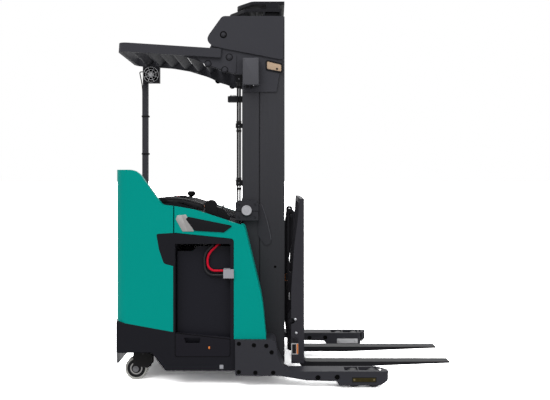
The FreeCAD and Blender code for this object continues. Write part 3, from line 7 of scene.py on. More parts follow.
import bmesh
import bpy
import numpy as np
from bpy.props import FloatProperty, FloatVectorProperty, IntProperty, PointerProperty
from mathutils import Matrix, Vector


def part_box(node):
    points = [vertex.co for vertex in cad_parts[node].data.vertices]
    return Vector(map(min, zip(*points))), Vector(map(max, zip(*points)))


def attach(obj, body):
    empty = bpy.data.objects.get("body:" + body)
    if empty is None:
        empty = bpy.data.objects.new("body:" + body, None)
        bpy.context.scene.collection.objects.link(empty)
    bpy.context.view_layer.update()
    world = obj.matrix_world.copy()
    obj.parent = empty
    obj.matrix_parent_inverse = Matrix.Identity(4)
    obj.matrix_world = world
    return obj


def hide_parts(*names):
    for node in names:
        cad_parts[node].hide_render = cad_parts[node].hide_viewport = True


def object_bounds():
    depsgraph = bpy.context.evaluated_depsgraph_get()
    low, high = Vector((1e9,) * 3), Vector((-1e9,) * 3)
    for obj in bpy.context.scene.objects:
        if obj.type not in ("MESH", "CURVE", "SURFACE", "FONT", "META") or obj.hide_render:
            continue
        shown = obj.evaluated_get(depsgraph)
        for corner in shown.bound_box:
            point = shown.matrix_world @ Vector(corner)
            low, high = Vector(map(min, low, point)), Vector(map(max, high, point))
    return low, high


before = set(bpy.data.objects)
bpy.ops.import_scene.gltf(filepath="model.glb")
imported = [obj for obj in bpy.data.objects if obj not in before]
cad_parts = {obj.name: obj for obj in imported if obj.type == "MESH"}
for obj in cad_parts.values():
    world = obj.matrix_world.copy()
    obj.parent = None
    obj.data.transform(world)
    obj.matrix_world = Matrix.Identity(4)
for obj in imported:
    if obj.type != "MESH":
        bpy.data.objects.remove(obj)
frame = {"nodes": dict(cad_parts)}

bl_info = {
    "name": "Reach truck looks",
    "version": (1, 0, 0),
    "blender": (4, 5, 0),
    "location": "View3D > Sidebar > Reach truck",
    "description": "Finishes, fittings, pads and studio of a stand-up reach truck",
    "category": "Object",
}

CAD_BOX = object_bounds()
SIDES = (("right", -1), ("left", 1))
RIGHT = -1
# Edges that turn by more than this many degrees stay sharp.
SHARP = 35.0
BOLT_SHARP = 28.0


def tone(red, green, blue):
    """A screen colour of 0 to 255 a channel as the linear colour that a shader takes."""
    screen = np.array((red, green, blue), float) / 255
    linear = np.where(screen <= 0.04045, screen / 12.92, ((screen + 0.055) / 1.055) ** 2.4)
    return tuple(float(c) for c in linear) + (1.0,)


def corners(node):
    """The lowest and highest corner of a CAD node."""
    return tuple(np.array(corner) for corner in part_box(node))


def middle(node):
    """The middle of a CAD node's box."""
    low, high = corners(node)
    return (low + high) / 2


def seats(node, places, side):
    """Where level lines from outside meet a CAD node's flank.

    Places are (x, z). Side is -1 for the right flank and 1 for the left.
    """
    found = []
    for x, z in places:
        hit, spot, _, _ = frame["nodes"][node].ray_cast((x, side, z), (0, -side, 0))
        if not hit:
            raise RuntimeError("%s has no flank at %.3f, %.3f" % (node, x, z))
        found.append(tuple(spot))
    return found


def top_height(node, x, y):
    """Height at which a plumb line meets the top of a CAD node."""
    hit, spot, _, _ = frame["nodes"][node].ray_cast((x, y, CAD_BOX[1][2] + 1), (0, 0, -1))
    if not hit:
        raise RuntimeError("%s has no top at %.3f, %.3f" % (node, x, y))
    return spot.z


# ------------------------------------------------------------------ surfaces
def ring_faces(rows, around, closed=False):
    """Quads between neighbouring rings of a grid, each ring closed on itself.

    The last row joins the first where closed is true.
    """
    row, spot = np.meshgrid(np.arange(rows if closed else rows - 1), np.arange(around), indexing="ij")
    after, above = (spot + 1) % around, (row + 1) % rows
    sides = (row * around + spot, row * around + after, above * around + after, above * around + spot)
    return np.stack(sides, -1).reshape(-1, 4)


def skin(name, *sets, sharp=SHARP, hoop=False):
    """Closed shells through rings of points.

    Each set has the shape (copies, rows, around, 3): every copy is a tube of closed rings. Its first and
    last ring are filled with one flat face each, or joined to each other where hoop is true.
    """
    points, faces, start = [], [], 0
    for rings in sets:
        rings = np.asarray(rings, float)
        rings = rings[None] if rings.ndim == 3 else rings
        copies, rows, around = rings.shape[:3]
        starts = start + np.arange(copies)[:, None] * rows * around
        faces += (ring_faces(rows, around, hoop)[None] + starts[:, :, None]).reshape(-1, 4).tolist()
        if not hoop:
            faces += (starts + np.arange(around)[::-1]).tolist()
            faces += (starts + (rows - 1) * around + np.arange(around)).tolist()
        points.append(rings.reshape(-1, 3))
        start += copies * rows * around
    mesh = bpy.data.meshes.new(name)
    mesh.from_pydata(np.concatenate(points).tolist(), [], faces)
    return finish_mesh(name, mesh, sharp)


def finish_mesh(name, mesh, sharp):
    """Merge doubles, turn faces outwards, smooth all but sharp edges, and stand the piece in the scene."""
    form = bmesh.new()
    form.from_mesh(mesh)
    bmesh.ops.remove_doubles(form, verts=form.verts, dist=1e-6)
    bmesh.ops.dissolve_degenerate(form, edges=form.edges, dist=1e-7)
    bmesh.ops.recalc_face_normals(form, faces=form.faces)
    form.to_mesh(mesh)
    form.free()
    mesh.polygons.foreach_set("use_smooth", np.ones(len(mesh.polygons), bool))
    mesh.set_sharp_from_angle(angle=math.radians(sharp))
    piece = bpy.data.objects.new(name, mesh)
    bpy.context.scene.collection.objects.link(piece)
    return piece


def rounded(spots, radii, steps=6):
    """An outline whose corners are arcs: each arc's angle runs evenly between its two tangent directions."""
    spots = np.asarray(spots, float)
    radii = np.broadcast_to(np.asarray(radii, float), len(spots))[:, None]
    back = np.roll(spots, 1, 0) - spots
    ahead = np.roll(spots, -1, 0) - spots
    back /= np.linalg.norm(back, axis=1, keepdims=True)
    ahead /= np.linalg.norm(ahead, axis=1, keepdims=True)
    half = np.arccos(np.clip((back * ahead).sum(1, keepdims=True), -1, 1)) / 2
    inward = back + ahead
    inward /= np.maximum(np.linalg.norm(inward, axis=1, keepdims=True), 1e-9)
    centre = spots + inward * radii / np.sin(half)
    start = spots + back * radii / np.tan(half) - centre
    end = spots + ahead * radii / np.tan(half) - centre
    low = np.arctan2(start[:, 1], start[:, 0])
    turn = np.arctan2(end[:, 1], end[:, 0]) - low
    turn = (turn + math.pi) % (2 * math.pi) - math.pi
    angle = low[:, None] + turn[:, None] * np.linspace(0, 1, steps)
    arc = centre[:, None] + radii[:, None] * np.stack((np.cos(angle), np.sin(angle)), -1)
    return arc.reshape(-1, 2)


def oblong(x, y, width, height, radius=0.0, steps=5):
    """A rectangle about a middle, its corners rounded."""
    spots = np.array(((-1, -1), (1, -1), (1, 1), (-1, 1))) * (width / 2, height / 2) + (x, y)
    return rounded(spots, radius, steps) if radius else spots


def inset(outline, distance):
    """An outline moved inwards along the mean of its neighbouring edges' normals."""
    ahead = np.roll(outline, -1, 0) - outline
    back = outline - np.roll(outline, 1, 0)
    ahead /= np.maximum(np.linalg.norm(ahead, axis=1, keepdims=True), 1e-9)
    back /= np.maximum(np.linalg.norm(back, axis=1, keepdims=True), 1e-9)
    tangent = ahead + back
    tangent /= np.maximum(np.linalg.norm(tangent, axis=1, keepdims=True), 1e-9)
    normal = np.stack((-tangent[:, 1], tangent[:, 0]), 1)
    across = np.maximum((tangent * ahead).sum(1, keepdims=True), 0.3)
    x, y = outline.T
    area = (x * np.roll(y, -1) - np.roll(x, -1) * y).sum()
    return outline + normal / across * distance * (1 if area > 0 else -1)


VIEWS = {
    "side": lambda a, b, depth: (a, depth, b),
    "plan": lambda a, b, depth: (a, b, depth),
    "front": lambda a, b, depth: (depth, a, b),
}


def ring_at(view, outline, depth):
    """One outline, seen from the side, in plan or from the front, at a depth."""
    return np.stack(np.broadcast_arrays(*VIEWS[view](*outline.T, depth)), -1)


def slab_rings(view, outline, low, high, edge=0.0, steps=3):
    """Rings of a flat plate between two depths. Its rims are quarter circles: the outline moves in by the
    edge radius times one minus the sine of an angle, as the depth moves in by one minus its cosine."""
    outline = np.asarray(outline, float)
    if not edge:
        return np.array([ring_at(view, outline, low), ring_at(view, outline, high)])
    angle = np.linspace(0, math.pi / 2, steps)
    way = math.copysign(edge, high - low)
    rim = [(inset(outline, edge * (1 - math.sin(a))), way * (1 - math.cos(a))) for a in angle]
    return np.array([ring_at(view, o, low + d) for o, d in rim] + [ring_at(view, o, high - d)
                                                                   for o, d in rim[::-1]])


def on_flank(outline, side, face, depth, edge=0.0):
    """Rings of a plate that stands off a flank: side is -1 for the right flank and 1 for the left."""
    return slab_rings("side", outline, side * face, side * (face + depth), edge)


def frame_rings(view, outline, width, low, high):
    """Rings of a flat frame: along its outer rim and back along its inner one. They make a hoop."""
    outline = np.asarray(outline, float)
    inner = inset(outline, width)
    return np.array([ring_at(view, o, d)
                     for o, d in ((outline, low), (outline, high), (inner, high), (inner, low))])


def angles(count):
    """Evenly spaced angles round a circle."""
    return np.arange(count) * 2 * math.pi / count


def lathe_rings(profile, around=32):
    """Rings of a turned form about Z: each profile point (radius, height) goes round a full circle."""
    profile = np.asarray(profile, float)
    angle = angles(around)
    radius, height = profile[:, :1], profile[:, 1:]
    return np.stack(np.broadcast_arrays(radius * np.cos(angle), radius * np.sin(angle), height), -1)


TURNS = {
    "+X": np.array(((0, 0, 1), (1, 0, 0), (0, 1, 0)), float),
    "-X": np.array(((0, 0, -1), (-1, 0, 0), (0, 1, 0)), float),
    "+Y": np.array(((-1, 0, 0), (0, 0, 1), (0, 1, 0)), float),
    "-Y": np.array(((1, 0, 0), (0, 0, -1), (0, 1, 0)), float),
    "+Z": np.eye(3),
    "-Z": np.diag((1.0, -1.0, -1.0)),
}
OUT = {-1: "-Y", 1: "+Y"}


def pitch(degrees):
    """The turn that leans a form's own Z forwards by an angle."""
    a = math.radians(degrees)
    return np.array(((math.cos(a), 0, math.sin(a)), (0, 1, 0), (-math.sin(a), 0, math.cos(a))))


def stood(rings, places, turn="+Z"):
    """Copies of a ring form, its own Z turned to the named axis or by a matrix, its foot at each place."""
    matrix = TURNS[turn] if isinstance(turn, str) else turn
    return (rings @ matrix.T)[None] + np.asarray(places, float).reshape(-1, 1, 1, 3)


def tube_rings(path, radius, around=10, closed=False):
    """Rings of a round bar along a path: each ring is square to the mean of the runs beside it."""
    path = np.asarray(path, float)
    run = np.roll(path, -1, 0) - np.roll(path, 1, 0) if closed else np.gradient(path, axis=0)
    run /= np.linalg.norm(run, axis=1, keepdims=True)
    side = np.cross(run, (0.31, 0.2, 0.93))
    side /= np.linalg.norm(side, axis=1, keepdims=True)
    up = np.cross(run, side)
    angle = angles(around)
    wheel = side[:, None] * np.cos(angle)[:, None] + up[:, None] * np.sin(angle)[:, None]
    return path[:, None] + radius * wheel


# ------------------------------------------------------------------ shader writing
class Signal:
    """A value in one finish's node tree. Arithmetic on it adds Math nodes."""

    def __init__(self, finish, socket):
        self.finish = finish
        self.socket = socket

    def math(self, operation, first, second=0.0):
        return self.finish.node("ShaderNodeMath", {"operation": operation}, {0: first, 1: second})

    def __add__(self, other):
        return self.math("ADD", self, other)

    def __sub__(self, other):
        return self.math("SUBTRACT", self, other)

    def __rsub__(self, other):
        return self.math("SUBTRACT", other, self)

    def __mul__(self, other):
        return self.math("MULTIPLY", self, other)

    __radd__ = __add__
    __rmul__ = __mul__


class Finish:
    """One procedural material: a principled shader and the nodes that feed it."""

    def __init__(self, name, edge=0.0, **constants):
        self.material = bpy.data.materials.new(name)
        self.material.use_nodes = True
        self.tree = self.material.node_tree
        self.shader = self.tree.nodes["Principled BSDF"]
        self.normal = None
        if edge:
            self.normal = self.node("ShaderNodeBevel", {"samples": 4}, {"Radius": edge})
        for socket, value in constants.items():
            self.shader.inputs[socket.replace("_", " ")].default_value = value

    def node(self, kind, settings=None, sockets=None, out=0):
        """Add a node: its settings come first, then the values or links of its sockets."""
        made = self.tree.nodes.new(kind)
        for key, value in (settings or {}).items():
            setattr(made, key, value)
        for key, value in (sockets or {}).items():
            self.plug(made.inputs[key], value)
        return Signal(self, made.outputs[out])

    def plug(self, socket, value):
        """Link a signal to a socket, or set the socket's own value."""
        if isinstance(value, Signal):
            self.tree.links.new(value.socket, socket)
        else:
            socket.default_value = value

    def feed(self, **inputs):
        """Feed the principled shader's sockets, named with underscores for spaces."""
        for name, value in inputs.items():
            self.plug(self.shader.inputs[name.replace("_", " ")], value)
        return self

    def place(self, centre=(0, 0, 0), stretch=(1, 1, 1)):
        """Object coordinates measured from a centre and stretched."""
        spot = self.node("ShaderNodeTexCoord", out="Object")
        moved = self.node("ShaderNodeVectorMath", {"operation": "SUBTRACT"}, {0: spot, 1: centre})
        return self.node("ShaderNodeVectorMath", {"operation": "MULTIPLY"}, {0: moved, 1: stretch})

    def axis(self, letter):
        """One object coordinate, in metres."""
        return self.node("ShaderNodeSeparateXYZ", None, {0: self.place()}, letter)

    def noise(self, scale, detail=2.0, where=None, roughness=0.5):
        """Cloudy noise of 0 to 1, scale blobs a metre."""
        return self.node("ShaderNodeTexNoise", None, {"Vector": where or self.place(), "Scale": scale,
                                                      "Detail": detail, "Roughness": roughness}, "Fac")

    def cells(self, scale):
        """Distance to the nearest of scattered points, scale points a metre."""
        return self.node("ShaderNodeTexVoronoi", None, {"Vector": self.place(), "Scale": scale}, "Distance")

    def bands(self, way, scale):
        """Even waves of 0 to 1 along an axis."""
        return self.node("ShaderNodeTexWave", {"bands_direction": way},
                         {"Vector": self.place(), "Scale": scale}, "Fac")

    def fade(self, value, low, high, start=0.0, end=1.0):
        """A value eased from start to end as it goes from low to high."""
        return self.node("ShaderNodeMapRange", {"interpolation_type": "SMOOTHSTEP"},
                         {"Value": value, "From Min": low, "From Max": high, "To Min": start, "To Max": end})

    def mix(self, share, first, second):
        """Two colours mixed by a share of 0 to 1."""
        return self.node("ShaderNodeMix", {"data_type": "RGBA"}, {0: share, 6: first, 7: second}, 2)

    def bump(self, height, strength, depth):
        """Raise the surface by a height of 0 to 1 times the depth in metres."""
        sockets = {"Height": height, "Strength": strength, "Distance": depth}
        if self.normal:
            sockets["Normal"] = self.normal
        self.normal = self.node("ShaderNodeBump", None, sockets)
        self.plug(self.shader.inputs["Normal"], self.normal)
        return self


def shade(colour, factor):
    """A colour made lighter or darker by a factor."""
    return tuple(min(1.0, c * factor) for c in colour[:3]) + (1.0,)


# How far the finishes round off an edge, in metres.
EDGE = 0.0035
SMALL_EDGE = 0.002


def painted(name, colour, roughness=0.4, peel=0.12, gloss=0.07, patch=0.03):
    """Sprayed paint on steel: faint colour patches and orange peel."""
    f = Finish(name, EDGE, Specular_IOR_Level=gloss)
    f.feed(Base_Color=f.mix(f.noise(2.2, 3.0), shade(colour, 1 - patch), shade(colour, 1 + patch)))
    f.feed(Roughness=f.noise(14.0, 4.0) * 0.10 + (roughness - 0.05))
    return f.bump(f.noise(420.0, 1.0), peel, 0.0006).material


def powder(name, colour, roughness=0.5, worn=0.0, grain=0.3, gloss=0.07, patch=0.05):
    """Powder coat or iron paint: fine leathery grain and light rub marks."""
    f = Finish(name, EDGE, Specular_IOR_Level=gloss)
    base = f.mix(f.noise(3.0, 4.0), shade(colour, 1 - patch), shade(colour, 1 + patch))
    rub = f.fade(f.noise(26.0, 9.0, roughness=0.7), 0.63, 0.72) * worn
    f.feed(Base_Color=f.mix(rub, base, tone(132, 132, 136)))
    f.feed(Roughness=f.noise(18.0, 4.0) * 0.12 + (roughness - 0.06) - rub * 0.15)
    return f.bump(f.noise(700.0, 2.0), grain, 0.0005).material


def rolled(name, colour, roughness=0.4, painted_shade_below=1.0):
    """Painted rolled steel: long drawn streaks along its height, and painted shade that darkens it towards
    its foot.
    """
    f = Finish(name, EDGE, Specular_IOR_Level=0.08)
    streaks = f.noise(60.0, 6.0, f.place(stretch=(1, 1, 0.04)))
    base = f.mix(streaks, shade(colour, 0.92), shade(colour, 1.08))
    # Painted shade: the base colour darkens towards the foot, most below 0.4 m.
    painted_shade_fade = f.fade(f.axis("Z"), 0.4, 2.0)
    f.feed(Base_Color=f.mix(painted_shade_fade, f.mix(painted_shade_below, base, shade(colour, 0.55)), base))
    f.feed(Roughness=streaks * 0.12 + (roughness - 0.06))
    return f.bump(f.noise(500.0, 2.0, f.place(stretch=(1, 1, 0.2))), 0.12, 0.0004).material


def moulded(name, colour, roughness=0.55, pebble=900.0, height=0.5, gloss=0.1, edge=EDGE):
    """Moulded plastic or rubber: pebbled grain and slight sheen changes. A cord has no edge to round."""
    f = Finish(name, edge, Specular_IOR_Level=gloss)
    f.feed(Base_Color=f.mix(f.noise(6.0, 3.0), shade(colour, 0.94), shade(colour, 1.06)))
    f.feed(Roughness=f.noise(30.0, 3.0) * 0.16 + (roughness - 0.08))
    return f.bump(f.cells(pebble), height, 0.0007).material


def bright_steel(name, colour, roughness=0.25, brushed=(1, 1, 1), grain=300.0):
    """Bare or plated steel: fine machining lines along one way and a few dull blotches."""
    f = Finish(name, Metallic=1.0)
    lines = f.noise(grain, 4.0, f.place(stretch=brushed))
    blotch = f.fade(f.noise(12.0, 5.0), 0.4, 0.7)
    f.feed(Base_Color=f.mix(lines, shade(colour, 0.86), shade(colour, 1.08)))
    f.feed(Roughness=lines * 0.12 + blotch * 0.10 + (roughness - 0.06))
    return f.bump(lines, 0.12, 0.0002).material


def split_paint(name, colour, dark, letter, place, metal=0.0, polish=0.0):
    """Two finishes on one casting: bare or light on one side of a plane, dark paint on the other."""
    f = Finish(name, SMALL_EDGE, Specular_IOR_Level=0.1)
    side = f.fade(f.axis(letter), place - 0.0005, place + 0.0005)
    if letter == "Z":
        side = 1 - side
    worn = f.noise(160.0, 4.0)
    f.feed(Base_Color=f.mix(side, dark, f.mix(worn, shade(colour, 0.9), shade(colour, 1.06))))
    f.feed(Roughness=worn * 0.1 - side * polish + 0.40, Metallic=side * metal)
    return f.bump(f.noise(600.0, 2.0), 0.1, 0.0004).material


def vinyl(name, colour):
    """Upholstery vinyl: creased leather grain and a soft sheen."""
    f = Finish(name, Specular_IOR_Level=0.12, Sheen_Weight=0.03, Sheen_Roughness=0.4)
    grain = f.cells(420.0)
    f.feed(Base_Color=f.mix(f.noise(10.0, 4.0), shade(colour, 0.85), shade(colour, 1.15)))
    f.feed(Roughness=grain * 0.2 + 0.45)
    return f.bump(grain, 0.4, 0.0006).bump(f.fade(f.noise(85.0, 6.0), 0.47, 0.53), 0.2, 0.0008).material


def mat_rubber(name, colour):
    """Rubber matting with scuffed patches where feet stand."""
    f = Finish(name, Specular_IOR_Level=0.2)
    scuff = f.fade(f.noise(12.0, 7.0), 0.5, 0.7)
    f.feed(Base_Color=f.mix(scuff * 0.3, colour, tone(96, 94, 90)), Roughness=0.86 - scuff * 0.15)
    return f.bump(f.cells(600.0), 0.4, 0.0006).material


def wheel_finish(node, tyre, hub, share, roughness=0.5):
    """Wheel: a poured tyre round an iron hub, told apart by the distance from the axle."""
    low, high = corners(node)
    outer = (high[2] - low[2]) / 2
    f = Finish(node + "_finish", SMALL_EDGE, Specular_IOR_Level=0.12)
    spot = f.place(centre=tuple(middle(node)), stretch=(1, 0, 1))
    reach = f.node("ShaderNodeVectorMath", {"operation": "LENGTH"}, {0: spot}, "Value")
    rim = f.fade(reach, outer * share - 0.001, outer * share + 0.001)
    scuff = f.fade(f.noise(60.0, 8.0), 0.52, 0.75) * f.fade(reach, outer * 0.96, outer)
    tread = f.mix(scuff * 0.5, tyre, shade(tyre, 0.6))
    f.feed(Base_Color=f.mix(rim, f.mix(f.noise(24.0, 6.0), shade(hub, 0.85), shade(hub, 1.15)), tread))
    f.feed(Roughness=rim * (roughness - 0.4) + 0.4 + scuff * 0.1, Metallic=(1 - rim) * 0.3)
    return f.bump(f.noise(380.0, 3.0), 0.2, 0.0004).material


def leg_paint(name, colour, plate):
    """Leg paint, with a thin keeper plate over the load wheel axles: a box of object coordinates picks it
    out, painted shade darkens a groove round it, and two round screw heads stand on it."""
    f = Finish(name, EDGE, Specular_IOR_Level=0.07)
    x, y, z = (f.axis(letter) for letter in "XYZ")
    flank = f.fade(f.node("ShaderNodeMath", {"operation": "ABSOLUTE"}, {0: y}), LEG_FLANK - 0.004,
                   LEG_FLANK - 0.002)

    def within(value, centre, half):
        """One inside a span and none outside it."""
        away = f.node("ShaderNodeMath", {"operation": "ABSOLUTE"}, {0: value - centre})
        return f.fade(away, half - 0.0005, half + 0.0005, 1.0, 0.0)

    def plate_out_to(more):
        """One on the keeper plate and this much beyond its edges."""
        return within(x, KEEPER_X, KEEPER_HALF[0] + more) * within(z, KEEPER_Z, KEEPER_HALF[1] + more) * flank

    keeper = plate_out_to(0.0)
    rim = plate_out_to(KEEPER_GROOVE) - keeper
    head = 0
    for way in (-1, 1):
        spot = f.place(centre=(KEEPER_X + way * KEEPER_SCREW, 0, KEEPER_Z), stretch=(1, 0, 1))
        away = f.node("ShaderNodeVectorMath", {"operation": "LENGTH"}, {0: spot}, "Value")
        head = f.fade(away, *KEEPER_HEAD, 1.0, 0.0) * flank + head
    base = f.mix(f.noise(3.0, 4.0), shade(colour, 0.95), shade(colour, 1.05))
    # Painted shade: the groove round the keeper plate is darkened to a quarter of the leg colour.
    base = f.mix(rim, base, shade(colour, 0.25))
    base = f.mix(keeper, base, f.mix(f.noise(70.0, 5.0), shade(plate, 0.6), shade(plate, 1.5)))
    f.feed(Base_Color=f.mix(head, base, tone(112, 102, 72)), Metallic=keeper * 0.4)
    f.feed(Roughness=f.noise(18.0, 4.0) * 0.12 + 0.42)
    f.bump(head + keeper * 0.5 - rim * 0.5, 0.6, 0.002)
    return f.bump(f.noise(700.0, 2.0), 0.3, 0.0005).material


def fork_steel(name, colour):
    """Painted fork: rubbed towards bare steel in streaks along its length, and more so towards the tip."""
    f = Finish(name, EDGE, Specular_IOR_Level=0.08)
    tip = f.fade(f.axis("X"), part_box("forks")[1].x - 0.5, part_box("forks")[1].x, 0.0, 0.12)
    along = f.noise(70.0, 8.0, f.place(stretch=(0.08, 1, 1)), 0.7)
    scrape = f.fade(along + tip, 0.66, 0.82)
    base = f.mix(f.noise(5.0, 4.0), shade(colour, 0.9), shade(colour, 1.1))
    f.feed(Base_Color=f.mix(scrape, base, tone(70, 69, 68)), Roughness=0.46 - scrape * 0.12,
           Metallic=scrape * 0.4)
    return f.bump(along, 0.15, 0.0004).material


def lamp_lens(name, colour):
    """Clear ribbed lens over a reflector."""
    f = Finish(name, Coat_Weight=0.6, Coat_Roughness=0.05)
    rib = f.bands("Y", 60.0)
    f.feed(Base_Color=f.mix(rib, shade(colour, 0.75), colour), Roughness=rib * 0.1 + 0.12)
    return f.bump(rib, 0.5, 0.001).material


def glass_dark(name, colour):
    """Dark display glass with a faint segment grid behind it."""
    f = Finish(name, Specular_IOR_Level=0.5)
    grid = f.fade(f.bands("Y", 90.0), 0.2, 0.4) * f.fade(f.bands("X", 90.0), 0.2, 0.4)
    f.feed(Base_Color=f.mix(grid * 0.5, colour, shade(colour, 2.5)), Roughness=f.noise(20.0) * 0.05 + 0.08)
    return f.bump(f.noise(8.0), 0.02, 0.0005).material


FINISHES = {}


def make(name, maker, *args):
    """Make a finish once, under its own name."""
    if name not in FINISHES:
        FINISHES[name] = maker(name, *args)
    return FINISHES[name]


LEG_FLANK = corners("base_legs")[1][1]
KEEPER_X = (corners("right_rear_load_wheel")[0][0] + corners("right_front_load_wheel")[1][0]) / 2
KEEPER_Z = 0.060
KEEPER_HALF = (0.079, 0.0135)
KEEPER_GROOVE = 0.004
KEEPER_SCREW = 0.067
KEEPER_HEAD = (0.0060, 0.0075)


def make_finishes(colours):
    """One finish for each of the record's material slots, and the small parts' own."""
    frame_colour = tuple(colours.frame) + (1.0,)
    make("panel_green", painted, tuple(colours.body) + (1.0,), 0.34, 0.08, 0.05)
    make("dark_frame", powder, frame_colour)
    make("leg_paint", leg_paint, tone(54, 54, 59), tone(52, 46, 24))
    make("guard_paint", powder, tone(62, 62, 67))
    make("gate_paint", powder, tone(29, 28, 34), 0.42)
    # Mast and stage steel are darkened towards their feet as painted shade.
    make("mast_steel", rolled, tone(62, 62, 66), 0.4, 0.9)
    make("stage_steel", rolled, tone(34, 34, 38), 0.36, 0.6)
    make("carriage_steel", powder, tone(40, 39, 43), 0.46, 0.1, 0.2)
    make("backrest_steel", powder, tone(53, 52, 57), 0.46)
    make("fork_steel", fork_steel, tone(30, 30, 33))
    make("bumper_steel", bright_steel, tone(118, 118, 121), 0.42, (1, 0.05, 1), 260.0)
    make("bright_bolt", bright_steel, tone(176, 176, 180), 0.3)
    make("chrome_rod", bright_steel, tone(222, 222, 226), 0.14, (1, 1, 0.03), 500.0)
    make("cylinder_paint", painted, tone(36, 36, 40), 0.3)
    make("battery_case", powder, tone(31, 31, 37), 0.4)
    make("dash_plastic", moulded, tone(28, 28, 32), 0.7, 900.0, 0.5, 0.03)
    make("hood_plastic", moulded, tone(28, 27, 32), 0.75, 700.0, 0.6, 0.03)
    make("grip_plastic", moulded, tone(18, 18, 20), 0.42, 1100.0, 0.4)
    make("mat_rubber", mat_rubber, tone(36, 36, 38))
    make("pad_vinyl", vinyl, tone(22, 22, 25))
    make("gear_iron", powder, tone(42, 41, 42), 0.55, 0.2, 0.6)
    make("bolt_black", powder, tone(9, 9, 10), 0.45, 0.0, 0.3, 0.04)
    make("free_lift_finish", split_paint, tone(205, 205, 210), tone(32, 32, 36), "Z",
         corners("free_lift_rod")[1][2] - 0.045, 1.0, 0.22)
    make("electrics_paint", split_paint, tone(86, 86, 91), tone(24, 24, 27), "X",
         corners("mast_electrics")[1][0] - 0.120)
    make("box_grey", painted, tone(86, 86, 91), 0.4, 0.15)
    make("clamp_grey", powder, tone(52, 52, 56), 0.45)
    make("plug_grey", moulded, tone(160, 161, 167), 0.4, 900.0, 0.2)
    make("fan_plastic", moulded, tone(34, 34, 38), 0.42, 1000.0, 0.3)
    make("lead_red", moulded, tone(206, 18, 46), 0.35, 900.0, 0.2, 0.1, 0.0)
    make("lead_black", moulded, tone(34, 34, 37), 0.35, 900.0, 0.1, 0.2, 0.0)
    make("cord_rubber", moulded, tone(18, 18, 20), 0.42, 1100.0, 0.15, 0.08, 0.0)
    make("badge_black", painted, tone(20, 20, 24), 0.2, 0.03, 0.12)
    make("brushed_trim", bright_steel, tuple(colours.trim) + (1.0,), 0.38, (0.2, 1, 1), 700.0)
    make("tan_plate", powder, tone(198, 172, 146), 0.5, 0.3, 0.6)
    make("orange", painted, tone(222, 124, 48), 0.25, 0.04, 0.4)
    make("label_white", painted, tone(205, 205, 208), 0.45, 0.03)
    make("stop_red", moulded, tone(200, 22, 28), 0.3, 400.0, 0.1, 0.5)
    make("lamp_lens", lamp_lens, tone(225, 228, 232))
    make("glass_dark", glass_dark, tone(14, 20, 22))


def give(piece, finish, body):
    """Give a new piece its finish and the body it rides."""
    piece.data.materials.clear()
    piece.data.materials.append(FINISHES[finish])
    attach(piece, body)
    return piece


def fit(name, finish, slot, *sets, body="truck", **form):
    """Make a new piece from sets of rings, and give it its finish and its body. The slot is not used."""
    return give(skin(name, *sets, **form), finish, body)


# ------------------------------------------------------------------ sizes and colours
def length(name, description, default):
    """A setting measured in metres."""
    return FloatProperty(name=name, description=description, default=default, unit="LENGTH", precision=4)


def colour_setting(name, description, default):
    """A setting that holds a colour."""
    return FloatVectorProperty(name=name, description=description, subtype="COLOR", size=3,
                               default=default[:3])


class ReachTruckSizes(bpy.types.PropertyGroup):
    """Sizes of the fittings that stand on the frame."""

    leg_bolt: length("Leg bolt", "Half the width of a leg's socket bolt", 0.0146)
    bracket_bolt: length("Bracket bolt", "Half the width of a guard bracket's bolt head", 0.0135)
    carriage_bolt: length("Backrest bolt", "Half the width of a backrest bolt's head", 0.0105)
    badge_thickness: length("Badge thickness", "How far the badge stands off its panel", 0.004)
    plate_thickness: length("Plate thickness", "How far labels and small plates stand off", 0.0012)
    rib_pitch: length("Rib pitch", "Distance between the floor mat's ribs", 0.014)
    wire: length("Grille wire", "Half the thickness of the fan grille's wire", 0.0020)
    pad_swell: length("Pad swell", "The furthest that a pad's foam pushes its cover out", 0.006)
    pad_frames: IntProperty(name="Pad frames", description="Steps that the pads' cloth settles for",
                            default=18)


class ReachTruckColours(bpy.types.PropertyGroup):
    """Colours of the paint and trim."""

    body: colour_setting("Body", "Body panels", tone(0, 152, 141))
    frame: colour_setting("Frame", "Chassis and skirts", tone(28, 28, 33))
    trim: colour_setting("Trim", "Bright trim on the side panels", tone(158, 156, 155))
    studio: colour_setting("Studio", "Floor and backdrop", tone(255, 255, 255))


# ------------------------------------------------------------------ studio
LENS = 44.7
SENSOR_WIDTH = 36.0
LENS_SHIFT = -0.0455
CAMERA_SPOT = (-0.081, -5.27, 1.451)
SIGHT = 400.0
# Each lamp's name, turn in degrees, strength and spread in degrees.
LAMPS = (("key", (38, 0, -30), 1.75, 40), ("fill", (66, 0, 42), 0.70, 50), ("back", (55, 0, 190), 0.8, 50))
FLOOR_SEEN = 4.2
FLOOR_PAINT = 0.45
FLOOR_GLOW = 0.03
WORLD_LIGHT = 0.42
FLOOR_RADIUS = 150.0
FLOOR_THICKNESS = 0.004
FLOOR_MIRRORED = 0.9


class REACHTRUCK_OT_studio(bpy.types.Operator):
    """Pale floor, soft lamps, white surroundings and the camera"""

    bl_idname = "reachtruck.studio"
    bl_label = "Studio"

    def execute(self, context):
        scene = context.scene
        colour = tuple(scene.reach_truck_colours.studio) + (1.0,)
        make_camera(scene)
        make_world(scene, colour)
        make_lamps(scene)
        make_floor(colour)
        scene.view_settings.view_transform = "Standard"
        return {"FINISHED"}


def make_camera(scene):
    """A level camera square to the truck's right side."""
    data = bpy.data.cameras.new("camera")
    data.lens = LENS
    data.sensor_width = SENSOR_WIDTH
    data.shift_y = LENS_SHIFT
    data.clip_end = SIGHT
    camera = bpy.data.objects.new("camera", data)
    camera.location = CAMERA_SPOT
    camera.rotation_euler = (math.pi / 2, 0, 0)
    scene.collection.objects.link(camera)
    scene.camera = camera


